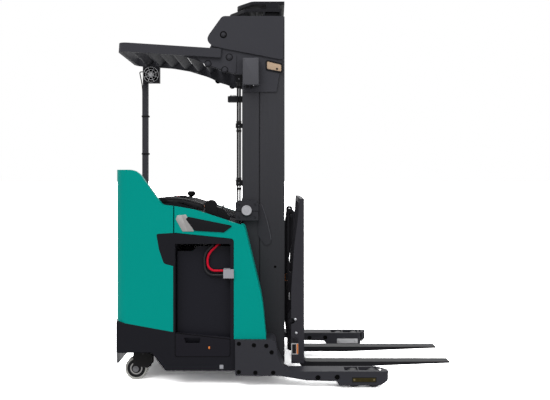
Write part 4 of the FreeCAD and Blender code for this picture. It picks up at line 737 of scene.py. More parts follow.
def link_rays(tree, kinds):
    """A socket that is 1 for the named kinds of ray and 0 for all others."""
    rays = tree.nodes.new("ShaderNodeLightPath")
    total = rays.outputs[kinds[0]]
    for kind in kinds[1:]:
        most = tree.nodes.new("ShaderNodeMath")
        most.operation = "MAXIMUM"
        tree.links.new(total, most.inputs[0])
        tree.links.new(rays.outputs[kind], most.inputs[1])
        total = most.outputs[0]
    return total


def make_world(scene, colour):
    """Even light from all round, and the backdrop's white for what looks straight at it or mirrors it."""
    world = bpy.data.worlds.new("surroundings")
    scene.world = world
    world.use_nodes = True
    tree = world.node_tree
    lit = tree.nodes["Background"]
    lit.inputs["Color"].default_value = (1, 1, 1, 1)
    lit.inputs["Strength"].default_value = WORLD_LIGHT
    seen = tree.nodes.new("ShaderNodeBackground")
    seen.inputs["Color"].default_value = colour
    blend = tree.nodes.new("ShaderNodeMixShader")
    tree.links.new(link_rays(tree, ("Is Camera Ray", "Is Glossy Ray", "Is Transmission Ray")),
                   blend.inputs[0])
    tree.links.new(lit.outputs[0], blend.inputs[1])
    tree.links.new(seen.outputs[0], blend.inputs[2])
    tree.links.new(blend.outputs[0], tree.nodes["World Output"].inputs["Surface"])


def make_lamps(scene):
    """Soft suns: a strong key from above on the left, and weaker ones from the right and from behind."""
    for name, turn, strength, spread in LAMPS:
        data = bpy.data.lights.new(name, "SUN")
        data.energy = strength
        data.angle = math.radians(spread)
        lamp = bpy.data.objects.new(name, data)
        lamp.rotation_euler = tuple(math.radians(a) for a in turn)
        scene.collection.objects.link(lamp)


def make_floor(colour):
    """A wide floor disc that keeps the truck's shadow.

    Looked at, it is bright enough to meet the backdrop. Mirrors see the plain backdrop colour, and the light
    that falls on it meets a mid grey, so undersides stay dark.
    """
    floor = skin("floor", lathe_rings(((FLOOR_RADIUS, -FLOOR_THICKNESS), (FLOOR_RADIUS, 0.0)), 64))
    material = bpy.data.materials.new("floor")
    material.use_nodes = True
    tree = material.node_tree
    tree.nodes.remove(tree.nodes["Principled BSDF"])

    def coat(kind, colour, strength=None):
        """One plain shader of the floor."""
        shader = tree.nodes.new(kind)
        shader.inputs["Color"].default_value = tuple(colour[:3]) + (1,)
        if strength is not None:
            shader.inputs["Strength"].default_value = strength
        return shader

    def choose(rays, usual, other):
        """The usual shader, or the other for the named rays."""
        mix = tree.nodes.new("ShaderNodeMixShader")
        for socket, source in zip(mix.inputs, (link_rays(tree, rays), usual.outputs[0], other.outputs[0])):
            tree.links.new(source, socket)
        return mix

    seen = tree.nodes.new("ShaderNodeAddShader")
    for socket, source in zip(seen.inputs, (coat("ShaderNodeBsdfDiffuse", (FLOOR_SEEN,) * 3),
                                            coat("ShaderNodeEmission", colour, FLOOR_GLOW))):
        tree.links.new(source.outputs[0], socket)
    lit = choose(("Is Camera Ray",), coat("ShaderNodeBsdfDiffuse", (FLOOR_PAINT,) * 3), seen)
    both = choose(("Is Glossy Ray", "Is Transmission Ray"), lit,
                  coat("ShaderNodeEmission", colour, FLOOR_MIRRORED))
    tree.links.new(both.outputs[0], tree.nodes["Material Output"].inputs["Surface"])
    floor.data.materials.append(material)


# ------------------------------------------------------------------ CAD node finishes
NODE_FINISHES = {
    "base_legs": "leg_paint", "overhead_guard": "guard_paint", "battery_gates": "gate_paint",
    "mast_head_plates": "guard_paint", "middle_mast": "stage_steel", "inner_mast": "stage_steel",
    "load_backrest": "backrest_steel", "tilt_shafts": "carriage_steel", "free_lift_rod": "free_lift_finish",
    "mast_electrics": "electrics_paint", "mast_hoses": "cord_rubber", "fan_cable": "cord_rubber",
}
# Each wheel's tyre and hub colours, and the share of its radius where the tyre starts.
WHEEL_FINISHES = {
    "caster_wheel": (tone(206, 205, 200), tone(30, 30, 32), 0.80),
    "drive_wheel": (tone(40, 39, 40), tone(84, 82, 80), 0.72),
}
for spot in ("right_rear", "right_front", "left_rear", "left_front"):
    WHEEL_FINISHES[spot + "_load_wheel"] = (tone(44, 44, 47), tone(90, 90, 92), 0.62)


class REACHTRUCK_OT_finishes(bpy.types.Operator):
    """Give every CAD node its finish"""

    bl_idname = "reachtruck.finishes"
    bl_label = "Node finishes"

    def execute(self, context):
        make_finishes(context.scene.reach_truck_colours)
        for name, piece in frame["nodes"].items():
            slot = piece.material_slots[0].material.name.split(".")[0]
            if name in WHEEL_FINISHES:
                piece.material_slots[0].material = wheel_finish(name, *WHEEL_FINISHES[name])
            else:
                piece.material_slots[0].material = FINISHES[NODE_FINISHES.get(name, slot)]
        return {"FINISHED"}


# ------------------------------------------------------------------ fasteners
HEX_AROUND = 24


def hexagon(rings, rows):
    """Give some rows of a turned form six flats: each radius is divided by the cosine of its angle from the
    middle of its flat."""
    angle = angles(HEX_AROUND)
    flats = math.cos(math.pi / 6) / np.cos(angle % (math.pi / 3) - math.pi / 6)
    rings[rows, :, :2] *= flats[:, None] * 1.06
    return rings


def bolt_rings(radius, height):
    """A washer and a chamfered six-sided head."""
    profile = ((0, 0), (radius * 1.5, 0), (radius * 1.5, height * 0.2), (radius * 1.4, height * 0.28),
               (radius, height * 0.28), (radius, height * 0.85), (radius * 0.86, height), (0, height))
    return hexagon(lathe_rings(profile, HEX_AROUND), slice(4, 7))


def socket_rings(radius, height):
    """A round head with a six-sided socket."""
    profile = ((0, 0), (radius, 0), (radius, height * 0.8), (radius * 0.9, height), (radius * 0.56, height),
               (radius * 0.56, height * 0.45), (0, height * 0.45))
    return hexagon(lathe_rings(profile, HEX_AROUND), slice(4, 6))


def dome_rings(radius, height, around=20):
    """A domed cap: a quarter ellipse turned round its axis."""
    angle = np.linspace(0, math.pi / 2, 6)
    dome = zip(radius * np.cos(angle), height * (0.35 + 0.65 * np.sin(angle)))
    profile = [(0, 0), (radius, 0)] + list(dome)
    return lathe_rings(profile, around)


def disc_rings(*steps, around=40):
    """A turned cap from steps of (radius, height), from the rim to the middle."""
    return lathe_rings([(0, 0), (steps[0][0], 0)] + list(steps) + [(0, steps[-1][1])], around)


# ------------------------------------------------------------------ pieces on the body
# Outlines and spots on the truck's flanks are (x, z).
BADGE = ((-0.691, 1.151), (-0.673, 1.166), (-0.368, 1.104), (-0.430, 1.059), (-0.631, 1.070))
FLASH = (((-0.7586, 1.150), (-0.7480, 1.1750), (-0.7150, 1.1785), (-0.6710, 1.0655), (-0.712, 1.0655)),
         ((-0.7200, 1.1778), (-0.688, 1.181), (-0.634, 1.0655), (-0.6760, 1.0655)))
REFLECTOR = (-0.530, 0.2726)
SKIRT_PLATE = (-0.446, 0.1415)
GATE_TOP = (0.3303, 0.3733)
GUARD_POST = (-1.118, 0.209)
POST_CLIPS = (1.32, 1.62, 1.92)
COVER_FITTINGS_DROP = 0.11


class REACHTRUCK_OT_side_badges(bpy.types.Operator):
    """Bare dark badge plate with a raised rim, and the brushed flash behind it, on the right nose panel"""

    bl_idname = "reachtruck.side_badges"
    bl_label = "Side badges"

    def execute(self, context):
        thick = context.scene.reach_truck_sizes.badge_thickness
        face = -corners("front_panels")[0][1]
        plate = rounded(BADGE, 0.006)
        fit("badge", "badge_black", "dash_plastic", on_flank(plate, RIGHT, face, thick, 0.0012))
        rim = frame_rings("side", inset(plate, 0.0015), 0.004, -face - thick * 0.9, -face - thick - 0.0012)
        fit("badge_rim", "gate_paint", "dash_plastic", rim, hoop=True)
        strips = [on_flank(rounded(strip, 0.003), RIGHT, face, depth, 0.0008)
                  for strip, depth in zip(FLASH, (thick * 0.6, thick * 0.9))]
        fit("badge_flash", "brushed_trim", "bumper_steel", *strips)
        return {"FINISHED"}


class REACHTRUCK_OT_body_fittings(bpy.types.Operator):
    """Near-black rings round the gates as painted shadow in their gaps, reflector, blank plate, tail bolts,
    cover latches, and the guard post's foot and clips
    """

    bl_idname = "reachtruck.body_fittings"
    bl_label = "Body fittings"

    def execute(self, context):
        thin = context.scene.reach_truck_sizes.plate_thickness
        low, high = corners("battery_gates")
        face = high[1]
        lens = on_flank(oblong(*REFLECTOR, 0.012, 0.018, 0.004), RIGHT, face, 0.003, 0.001)
        fit("gate_reflector", "orange", "bumper_steel", lens)
        blank = on_flank(oblong(*SKIRT_PLATE, 0.026, 0.028, 0.003), RIGHT, face, thin)
        fit("skirt_plate", "plug_grey", "plug_grey", blank)
        gate = rounded(((low[0], low[2]), (high[0], low[2]), (high[0], GATE_TOP[0]), (low[0], GATE_TOP[1])),
                       (0.018, 0.018, 0.004, 0.004))
        for word, side in SIDES:
            # A near-black ring round the gate stands for the shadow in the gap round it: painted shadow.
            shadow_gap = frame_rings("side", inset(gate, -0.0015), 0.0042, side * (face - 0.001),
                               side * (face + 0.0005))
            fit("gate_shadow_gap_" + word, "bolt_black", "dark_frame", shadow_gap, hoop=True)
        self.tail()
        self.cover()
        self.post()
        return {"FINISHED"}

    def tail(self):
        """Bolts at the tail plate's corners."""
        low, high = corners("rear_bumper")
        spots = [(low[0], y, z) for y in (low[1] + 0.045, high[1] - 0.045)
                 for z in (low[2] + 0.05, high[2] - 0.05)]
        heads = stood(socket_rings(0.011, 0.007), spots, "-X")
        fit("tail_bolts", "bright_bolt", "bumper_steel", heads, sharp=BOLT_SHARP)

    def cover(self):
        """Two slotted latches on the drive cover and a grip between them."""
        low, high = corners("drive_cover")
        across, height = (low[1] + high[1]) / 2, high[2] - COVER_FITTINGS_DROP
        latch = lathe_rings(((0, 0), (0.017, 0), (0.017, 0.0015), (0.0145, 0.0025), (0.0145, 0.0012),
                             (0, 0.0012)), 28)
        spots = [(low[0], across + y, height) for y in (-0.13, 0.13)]
        slot = slab_rings("plan", oblong(0, 0, 0.022, 0.005, 0.002), 0.001, 0.003, 0.0006)
        fit("cover_latches", "bumper_steel", "bumper_steel", stood(latch, spots, "-X"),
            stood(slot, spots, "-X"))
        grip = frame_rings("front", oblong(across, height, 0.13, 0.036, 0.017), 0.006, low[0], low[0] - 0.004)
        fit("cover_grip", "dash_plastic", "dash_plastic", grip, hoop=True)

    def post(self):
        """The collar at the guard post's foot, and the straps that hold the fan's cable to the post."""
        x, y = GUARD_POST
        seat = corners("drive_cover")[1][2]
        collar = frame_rings("plan", oblong(x, y, 0.078, 0.078, 0.012), 0.0185, seat, seat + 0.016)
        fit("post_collar", "dash_plastic", "dark_frame", collar, hoop=True)
        clips = [(corners("fan_cable")[0][0] + 0.0225, y, z) for z in POST_CLIPS]
        strap = frame_rings("plan", oblong(0.020, 0, 0.060, 0.046, 0.008), 0.0018, -0.006, 0.006)
        fit("lead_straps", "grip_plastic", "grip_plastic", stood(strap, clips), hoop=True)


class REACHTRUCK_OT_floor_mat(bpy.types.Operator):
    """Raised ribs along the operator's mat, and the foot switch with its studs"""

    bl_idname = "reachtruck.floor_mat"
    bl_label = "Floor mat"

    def execute(self, context):
        pitch_y = context.scene.reach_truck_sizes.rib_pitch
        low, high = corners("floor_mat")
        count = int((high[1] - low[1] - 0.02) / pitch_y)
        spots = [((low[0] + high[0]) / 2, low[1] + 0.016 + pitch_y * i, high[2]) for i in range(count)]
        rib = slab_rings("plan", oblong(0, 0, high[0] - low[0] - 0.03, 0.006), -0.0005, 0.0025, 0.001, 2)
        fit("mat_ribs", "mat_rubber", "mat_rubber", stood(rib, spots))
        pedal = slab_rings("plan", oblong(high[0] - 0.09, -0.40, 0.11, 0.16, 0.02), high[2], high[2] + 0.012,
                           0.004)
        studs = [(high[0] - 0.125 + 0.023 * i, -0.46 + 0.024 * j, high[2] + 0.012) for i in range(4)
                 for j in range(6)]
        fit("foot_switch", "grip_plastic", "grip_plastic", pedal, stood(dome_rings(0.005, 0.002, 10), studs))
        return {"FINISHED"}


# ------------------------------------------------------------------ legs, carriage and wheels
LEG_BOLTS = ((-0.326, 0.304), (-0.224, 0.294), (-0.140, 0.290), (-0.104, 0.246), (-0.093, 0.108),
             (-0.214, 0.108), (-0.327, 0.112))
ARM_PINS = ((0.211, 0.074), (0.342, 0.077))
ARM_PIN_RADIUS = 0.0174
ARM_PIN_DEPTH = 0.010
INNER_KEEPER = (0.530, 0.0495)
INNER_KEEPER_SCREW = 0.068
INNER_KEEPER_THICKNESS = 0.0025
BRIGHT_BOLTS = ((0.062, 0.4348), (0.0683, 0.3383))
LABEL_HEIGHT = 0.2265
WHEEL_NUTS = 8
NUT_CIRCLE = 0.062


class REACHTRUCK_OT_leg_fittings(bpy.types.Operator):
    """Socket bolts in the legs' recesses, arm pin caps and the keeper plates on the legs' inner flanks"""

    bl_idname = "reachtruck.leg_fittings"
    bl_label = "Leg fittings"

    def execute(self, context):
        sizes = context.scene.reach_truck_sizes
        inner = abs(corners("right_front_load_wheel")[1][1] + 0.0245)
        outer = corners("base_legs")[1][1] - 0.008
        x, z = INNER_KEEPER
        for word, side in SIDES:
            heads = stood(socket_rings(sizes.leg_bolt, 0.0105), seats("base_legs", LEG_BOLTS, side),
                          OUT[side])
            pin = socket_rings(ARM_PIN_RADIUS, ARM_PIN_DEPTH)
            caps = [stood(pin, [(px, side * y, pz) for px, pz in ARM_PINS], OUT[way])
                    for y, way in ((outer - 0.010, side), (inner + 0.018, -side))]
            fit("leg_bolts_" + word, "bolt_black", "dark_frame", heads, *caps, sharp=BOLT_SHARP)
            face = side * inner
            top = face - side * INNER_KEEPER_THICKNESS
            plate = slab_rings("side", oblong(x, z, 0.175, 0.039, 0.005), face, top, 0.0008)
            spots = [(x + way * INNER_KEEPER_SCREW, top, z) for way in (-1, 1)]
            screws = stood(bolt_rings(0.0075, 0.005), spots, OUT[-side])
            fit("keeper_plate_" + word, "label_white", "bumper_steel", plate, screws, sharp=BOLT_SHARP)
        return {"FINISHED"}


class REACHTRUCK_OT_carriage_fittings(bpy.types.Operator):
    """Bright bolts, shaft locks, label, fork latches, stop block and arm switch of the reach carriage"""

    bl_idname = "reachtruck.carriage_fittings"
    bl_label = "Carriage fittings"

    def execute(self, context):
        sizes = context.scene.reach_truck_sizes
        face = corners("load_backrest")[1][1]
        for word, side in SIDES:
            heads = stood(dome_rings(sizes.carriage_bolt, 0.008), seats("load_backrest", BRIGHT_BOLTS, side),
                          OUT[side])
            fit("backrest_bolts_" + word, "bright_bolt", "bumper_steel", heads, body="fork_carriage")
            clip = on_flank(oblong(0.061, 0.292, 0.034, 0.030, 0.004), side, face, 0.010, 0.002)
            nut = stood(bolt_rings(0.0055, 0.004), [(0.058, side * (face + 0.010), 0.300)], OUT[side])
            fit("shaft_lock_" + word, "carriage_steel", "carriage_steel", clip, nut, sharp=BOLT_SHARP,
                body="fork_carriage")
        self.label(face, sizes.plate_thickness)
        self.latches()
        self.head()
        return {"FINISHED"}

    def label(self, face, thin):
        """A blank dark plate with a light border and an orange edge on the right side plate."""
        for name, finish, slot, x, width, height, radius, depth in (
                ("carriage_label_edge", "label_white", "plug_grey", 0.0585, 0.049, 0.078, 0.003, thin),
                ("carriage_label", "badge_black", "carriage_steel", 0.0535, 0.029, 0.066, 0.001, thin * 1.6),
                ("carriage_stripe", "orange", "bumper_steel", 0.0765, 0.011, 0.072, 0.001, thin * 1.6)):
            plate = on_flank(oblong(x, LABEL_HEIGHT, width, height, radius), RIGHT, face, depth)
            fit(name, finish, slot, plate, body="fork_carriage")

    def latches(self):
        """A spring knob on each fork's hook, over the upper bar."""
        low, high = corners("forks")
        spots = [(low[0] + 0.019, y, high[2]) for y in (low[1] + 0.05, high[1] - 0.05)]
        knob = lathe_rings(((0, 0), (0.013, 0), (0.013, 0.006), (0.008, 0.008), (0.008, 0.016),
                            (0.012, 0.018),
                            (0.012, 0.030), (0.009, 0.033), (0, 0.033)), 24)
        fit("fork_latches", "bumper_steel", "bumper_steel", stood(knob, spots), body="fork_carriage")

    def head(self):
        """A white stop block on the reach head and an orange-edged switch on the right outer arm."""
        face = -corners("reach_head")[0][1]
        block = on_flank(oblong(0.0225, 0.567, 0.008, 0.052, 0.003), RIGHT, face, 0.006, 0.002)
        fit("head_stop_block", "label_white", "plug_grey", block, body="reach_head")
        arm = -corners("outer_scissor_arms")[0][1] - 0.024
        casing = on_flank(oblong(0.003, 0.671, 0.026, 0.118, 0.006), RIGHT, arm, 0.006, 0.0015)
        fit("arm_switch", "badge_black", "carriage_steel", casing, body="outer_arms")
        edge = frame_rings("side", oblong(0.003, 0.702, 0.022, 0.052, 0.004), 0.003, -arm - 0.005,
                           -arm - 0.0068)
        fit("arm_switch_edge", "orange", "bumper_steel", edge, hoop=True, body="outer_arms")


class REACHTRUCK_OT_wheel_trim(bpy.types.Operator):
    """Hub rings and axle nuts of the caster, and the bolts of the drive wheel"""

    bl_idname = "reachtruck.wheel_trim"
    bl_label = "Wheel trim"

    def execute(self, context):
        low, high = corners("caster_wheel")
        x, _, z = middle("caster_wheel")
        ring = ((0.0345, 0), (0.0345, 0.0015), (0.0375, 0.0026), (0.0425, 0.0022), (0.0435, 0))
        rings = [stood(lathe_rings(ring, 48), [(x, y, z)], turn)
                 for y, turn in ((low[1], "-Y"), (high[1], "+Y"))]
        fit("caster_hub_rings", "brushed_trim", "bumper_steel", *rings, hoop=True, body="caster_wheel")
        fork_low, fork_high = corners("caster_fork")
        cap = disc_rings((0.0215, 0.002), (0.0205, 0.0035), (0.0150, 0.0035), (0.0135, 0.0050))
        nut = hexagon(disc_rings((0.0100, 0.0110), (0.0090, 0.0125), around=HEX_AROUND), slice(1, 4))
        caps = [stood(form, [(x, y, z)], turn) for form in (cap, nut)
                for y, turn in ((fork_low[1], "-Y"), (fork_high[1], "+Y"))]
        fit("caster_axle_nuts", "bumper_steel", "bumper_steel", *caps, sharp=BOLT_SHARP, body="caster_fork")
        self.drive()
        return {"FINISHED"}

    def drive(self):
        """Wheel nuts on the drive wheel's inner face, evenly round the hub."""
        low, _ = corners("drive_wheel")
        x, _, z = middle("drive_wheel")
        angle = angles(WHEEL_NUTS)
        nut_x, nut_z = x + NUT_CIRCLE * np.cos(angle), z + NUT_CIRCLE * np.sin(angle)
        spots = np.stack((nut_x, np.full(WHEEL_NUTS, low[1]), nut_z), 1)
        hub = stood(disc_rings((0.086, 0.004), (0.082, 0.007), (0.046, 0.007), (0.040, 0.012)),
                    [(x, low[1], z)], "-Y")
        nuts = stood(bolt_rings(0.009, 0.014), spots, "-Y")
        fit("drive_wheel_nuts", "gear_iron", "gear_iron", hub, nuts, sharp=BOLT_SHARP, body="drive_wheel")


# ------------------------------------------------------------------ guard, mast and lamps
BRACKET_BOLTS = ((-0.405, 2.285), (-0.556, 2.239), (-0.437, 2.195))
HEAD_BOLT = ((-0.446, 2.444),)
TAN_PLATE = ((-0.138, 2.258), (-0.036, 2.233), (-0.036, 2.183), (-0.138, 2.203))
TAN_PLATE_SEAT = ((-0.09, 2.22),)
TAN_PLATE_STUD = (-0.067, 2.203)
BOX_WIDTH = 0.112
BOX_HEIGHT = 0.190
LID_THICKNESS = 0.004
LID_SCREW_INSET = 0.011
WORK_LIGHT_Y = -0.375
GRILLE_RADII = (0.022, 0.041, 0.060)
GRILLE_AROUND = 48
SPOKE_LENGTH = 0.0615


class REACHTRUCK_OT_guard_fittings(bpy.types.Operator):
    """Bolts of the guard's brackets, and the tan plate in a near-black frame, painted shade of its recess, on
    the right head plate
    """

    bl_idname = "reachtruck.guard_fittings"
    bl_label = "Guard fittings"

    def execute(self, context):
        radius = context.scene.reach_truck_sizes.bracket_bolt
        for word, side in SIDES:
            lug = stood(bolt_rings(radius, 0.011), seats("overhead_guard", BRACKET_BOLTS, side), OUT[side])
            top = stood(bolt_rings(radius * 0.8, 0.009), seats("mast_head_plates", HEAD_BOLT, side),
                        OUT[side])
            fit("guard_bolts_" + word, "guard_paint", "dark_frame", lug, top, sharp=BOLT_SHARP)
            # Near-black discs under the bracket and head bolts give them dark outlines.
            pads = [stood(disc_rings((radius * 1.85, 0.0012), around=28), seats(node, spots, side), OUT[side])
                    for node, spots in (("overhead_guard", BRACKET_BOLTS), ("mast_head_plates", HEAD_BOLT))]
            fit("guard_bolt_dark_rings_" + word, "bolt_black", "dark_frame", *pads)
        face = seats("mast_head_plates", TAN_PLATE_SEAT, RIGHT)[0][1]
        outline = rounded(TAN_PLATE, 0.006)
        # A near-black frame round the tan plate stands for the shade of its recess: painted shade.
        rim = frame_rings("side", inset(outline, -0.009), 0.009, face, face - 0.006)
        fit("lamp_plate_recess_shade", "badge_black", "dash_plastic", rim, hoop=True)
        fit("lamp_plate", "tan_plate", "box_grey", slab_rings("side", outline, face, face - 0.003, 0.001))
        # A near-black disc on the plate stands for the shade in a hole: painted shade.
        hole = stood(disc_rings((0.0075, 0.0012), (0.0065, 0.0016)),
                     [(TAN_PLATE_STUD[0], face - 0.003, TAN_PLATE_STUD[1])], "-Y")
        fit("lamp_plate_hole_shade", "badge_black", "dash_plastic", hole)
        return {"FINISHED"}


class REACHTRUCK_OT_electrics(bpy.types.Operator):
    """Lid, screws and glands of the junction box, and the lens and fins of the work light"""

    bl_idname = "reachtruck.electrics"
    bl_label = "Electrics"

    def execute(self, context):
        low, high = corners("mast_electrics")
        x0, x1, z0, z1 = high[0] - BOX_WIDTH, high[0], high[2] - BOX_HEIGHT, high[2]
        outline = oblong((x0 + x1) / 2, (z0 + z1) / 2, x1 - x0 - 0.004, z1 - z0 - 0.004, 0.006)
        lid = slab_rings("side", outline, low[1], low[1] - LID_THICKNESS, 0.0018)
        fit("junction_lid", "box_grey", "box_grey", lid)
        spots = [(x, low[1] - LID_THICKNESS, z) for x in (x0 + LID_SCREW_INSET, x1 - LID_SCREW_INSET)
                 for z in (z0 + LID_SCREW_INSET, z1 - LID_SCREW_INSET)]
        screws = stood(dome_rings(0.004, 0.0018, 14), spots, "-Y")
        fit("junction_screws", "box_grey", "box_grey", screws)
        gland = disc_rings((0.011, 0.004), (0.011, 0.008), (0.008, 0.009), (0.008, 0.016), (0.005, 0.019),
                           around=20)
        spots = [(x0 + 0.030, low[1] + 0.03, z0), (x0 + 0.062, low[1] + 0.03, z0)]
        fit("junction_glands", "grip_plastic", "dash_plastic", stood(gland, spots, "-Z"))
        stud = stood(dome_rings(0.005, 0.006, 14), [(x0 + 0.075, low[1] + 0.012, z0)], "-Z")
        fit("junction_stud", "bright_bolt", "bumper_steel", stud)
        self.work_light(low[0], low[2])
        return {"FINISHED"}

    def work_light(self, rear, foot):
        """A lens in a bezel on the lamp's rear face, and cooling fins across its top."""
        y, z = WORK_LIGHT_Y, foot + 0.021
        bezel = frame_rings("front", oblong(y, z, 0.048, 0.040, 0.006), 0.004, rear + 0.001, rear - 0.005)
        fit("work_light_bezel", "grip_plastic", "dash_plastic", bezel, hoop=True)
        lens = slab_rings("front", oblong(y, z, 0.041, 0.033, 0.004), rear + 0.001, rear - 0.003, 0.001)
        fit("work_light_lens", "lamp_lens", "plug_grey", lens)
        fin = slab_rings("front", oblong(0, 0.004, 0.044, 0.008), -0.0015, 0.0015)
        spots = [(rear + 0.014 + 0.009 * i, y, foot + 0.042) for i in range(8)]
        fit("work_light_fins", "grip_plastic", "dash_plastic", stood(fin, spots))


class REACHTRUCK_OT_fan_grille(bpy.types.Operator):
    """Wire rings and spokes over both faces of the operator's fan, and a dark disc behind it"""

    bl_idname = "reachtruck.fan_grille"
    bl_label = "Fan grille"

    def execute(self, context):
        wire = context.scene.reach_truck_sizes.wire
        low, high = corners("fan_housing")
        x, _, z = middle("fan_housing")
        angle = angles(GRILLE_AROUND)
        circle = np.stack((np.cos(angle), np.zeros(GRILLE_AROUND), np.sin(angle)), 1)
        depths = (low[1] + 0.001, high[1] + 0.001)
        rings = [tube_rings(circle * r + (x, y, z), wire, 6, True)[None] for y in depths
                 for r in GRILLE_RADII]
        fit("fan_grille_rings", "label_white", "fan_plastic", *rings, hoop=True)
        back = stood(disc_rings((0.0625, 0.003), (0.0600, 0.004), around=48), [(x, high[1] - 0.004, z)], "+Y")
        fit("fan_back", "bolt_black", "fan_plastic", back)
        spokes = []
        for y in depths:
            for a in np.arange(4) * math.pi / 4 + math.pi / 8:
                end = np.array((math.cos(a), 0, math.sin(a))) * SPOKE_LENGTH
                spokes.append(tube_rings(np.array((-end, end)) + (x, y - wire, z), wire, 6)[None])
        hub = stood(disc_rings((0.017, 0.002), (0.015, 0.004)), [(x, low[1] + 0.001, z)], "-Y")
        fit("fan_grille_spokes", "label_white", "fan_plastic", *spokes, hub)
        return {"FINISHED"}


GUSSET_EDGE = ((-0.1755, 1.243), (-0.131, 1.122), (-0.108, 0.992))
GUSSET_FACE = ((-0.150, 1.05),)
HIGHLIGHT_POINTS = 16
CLAMP_DISC = (-0.281, 1.202)
CLAMP_BOLTS = ((-0.335, 1.245), (-0.335, 1.155), (-0.222, 1.245), (-0.222, 1.155))
HOSES_X = (-0.330, -0.346)
HOSES_Y = -0.411
SLEEVE_HEIGHTS = (1.127, 2.081)
BAND_HEIGHTS = (1.344, 1.415, 1.756, 1.817)
BLOCK_SCREW = (-0.338, -0.4195)
BLOCK_HEIGHTS = (1.394, 1.801, 2.134)
LIFT_RODS_Y = (-0.270, 0.270)


class REACHTRUCK_OT_mast_trim(bpy.types.Operator):
    """Bright clamp discs and bolts, a painted highlight along each gusset's edge, hose crimps and cylinder
    glands of the mast
    """

    bl_idname = "reachtruck.mast_trim"
    bl_label = "Mast trim"

    def execute(self, context):
        face = corners("mast_clamps")[1][1]
        disc = disc_rings((0.036, 0.002), (0.034, 0.004), (0.029, 0.004), (0.028, 0.003), (0.014, 0.003),
                          (0.013, 0.0045))
        for word, side in SIDES:
            fit("clamp_disc_" + word, "bright_bolt", "bumper_steel",
                stood(disc, [(CLAMP_DISC[0], side * face, CLAMP_DISC[1])], OUT[side]))
            spots = seats("mast_clamps", CLAMP_BOLTS, side)
            fit("clamp_bolts_" + word, "clamp_grey", "clamp_grey",
                stood(socket_rings(0.007, 0.005), spots, OUT[side]), sharp=BOLT_SHARP)
            self.bead(word, side)
        self.hoses()
        self.glands()
        return {"FINISHED"}

    def bead(self, word, side):
        """A light grey tube along the gusset's free edge as a painted highlight: a quadratic curve through
        its three corners.
        """
        t = np.linspace(0, 1, HIGHLIGHT_POINTS)[:, None]
        first, bend, last = (np.array(spot) for spot in GUSSET_EDGE)
        curve = (1 - t) ** 2 * first + 2 * t * (1 - t) * bend + t ** 2 * last
        y = seats("mast_clamps", GUSSET_FACE, side)[0][1]
        path = np.stack((curve[:, 0], np.full(HIGHLIGHT_POINTS, y), curve[:, 1]), 1)
        # A light grey tube stands for the highlight on the gusset's edge: painted highlight.
        fit("gusset_bead_" + word, "box_grey", "clamp_grey", tube_rings(path, 0.0022, 8)[None])

    def hoses(self):
        """Crimped sleeves on both hoses beside each block, and a screw in each block."""
        sleeve = lathe_rings(((0.0072, 0), (0.0105, 0.001), (0.0105, 0.012), (0.0095, 0.013), (0.0095, 0.016),
                              (0.0105, 0.017), (0.0105, 0.028), (0.0072, 0.029)), 20)
        spots, bands = ([(x, HOSES_Y, z) for x in HOSES_X for z in heights]
                        for heights in (SLEEVE_HEIGHTS, BAND_HEIGHTS))
        fit("hose_sleeves", "gear_iron", "gear_iron", stood(sleeve, spots),
            stood(sleeve * (1, 1, 0.6), bands))
        screws = stood(socket_rings(0.004, 0.003), [BLOCK_SCREW + (z,) for z in BLOCK_HEIGHTS], "-Y")
        fit("hose_block_screws", "bumper_steel", "bumper_steel", screws, sharp=BOLT_SHARP)

    def glands(self):
        """Gland nuts with spanner flats round the lift rods."""
        x = middle("lift_rods")[0]
        seat = corners("lift_cylinders")[1][2]
        nut = ((0.0262, 0), (0.0365, 0), (0.0365, 0.014), (0.0345, 0.016), (0.0262, 0.016))
        spots = [(x, y, seat) for y in LIFT_RODS_Y]
        form = hexagon(lathe_rings(nut, HEX_AROUND), slice(1, 4))
        fit("lift_glands", "bumper_steel", "bumper_steel", stood(form, spots), hoop=True, sharp=BOLT_SHARP)


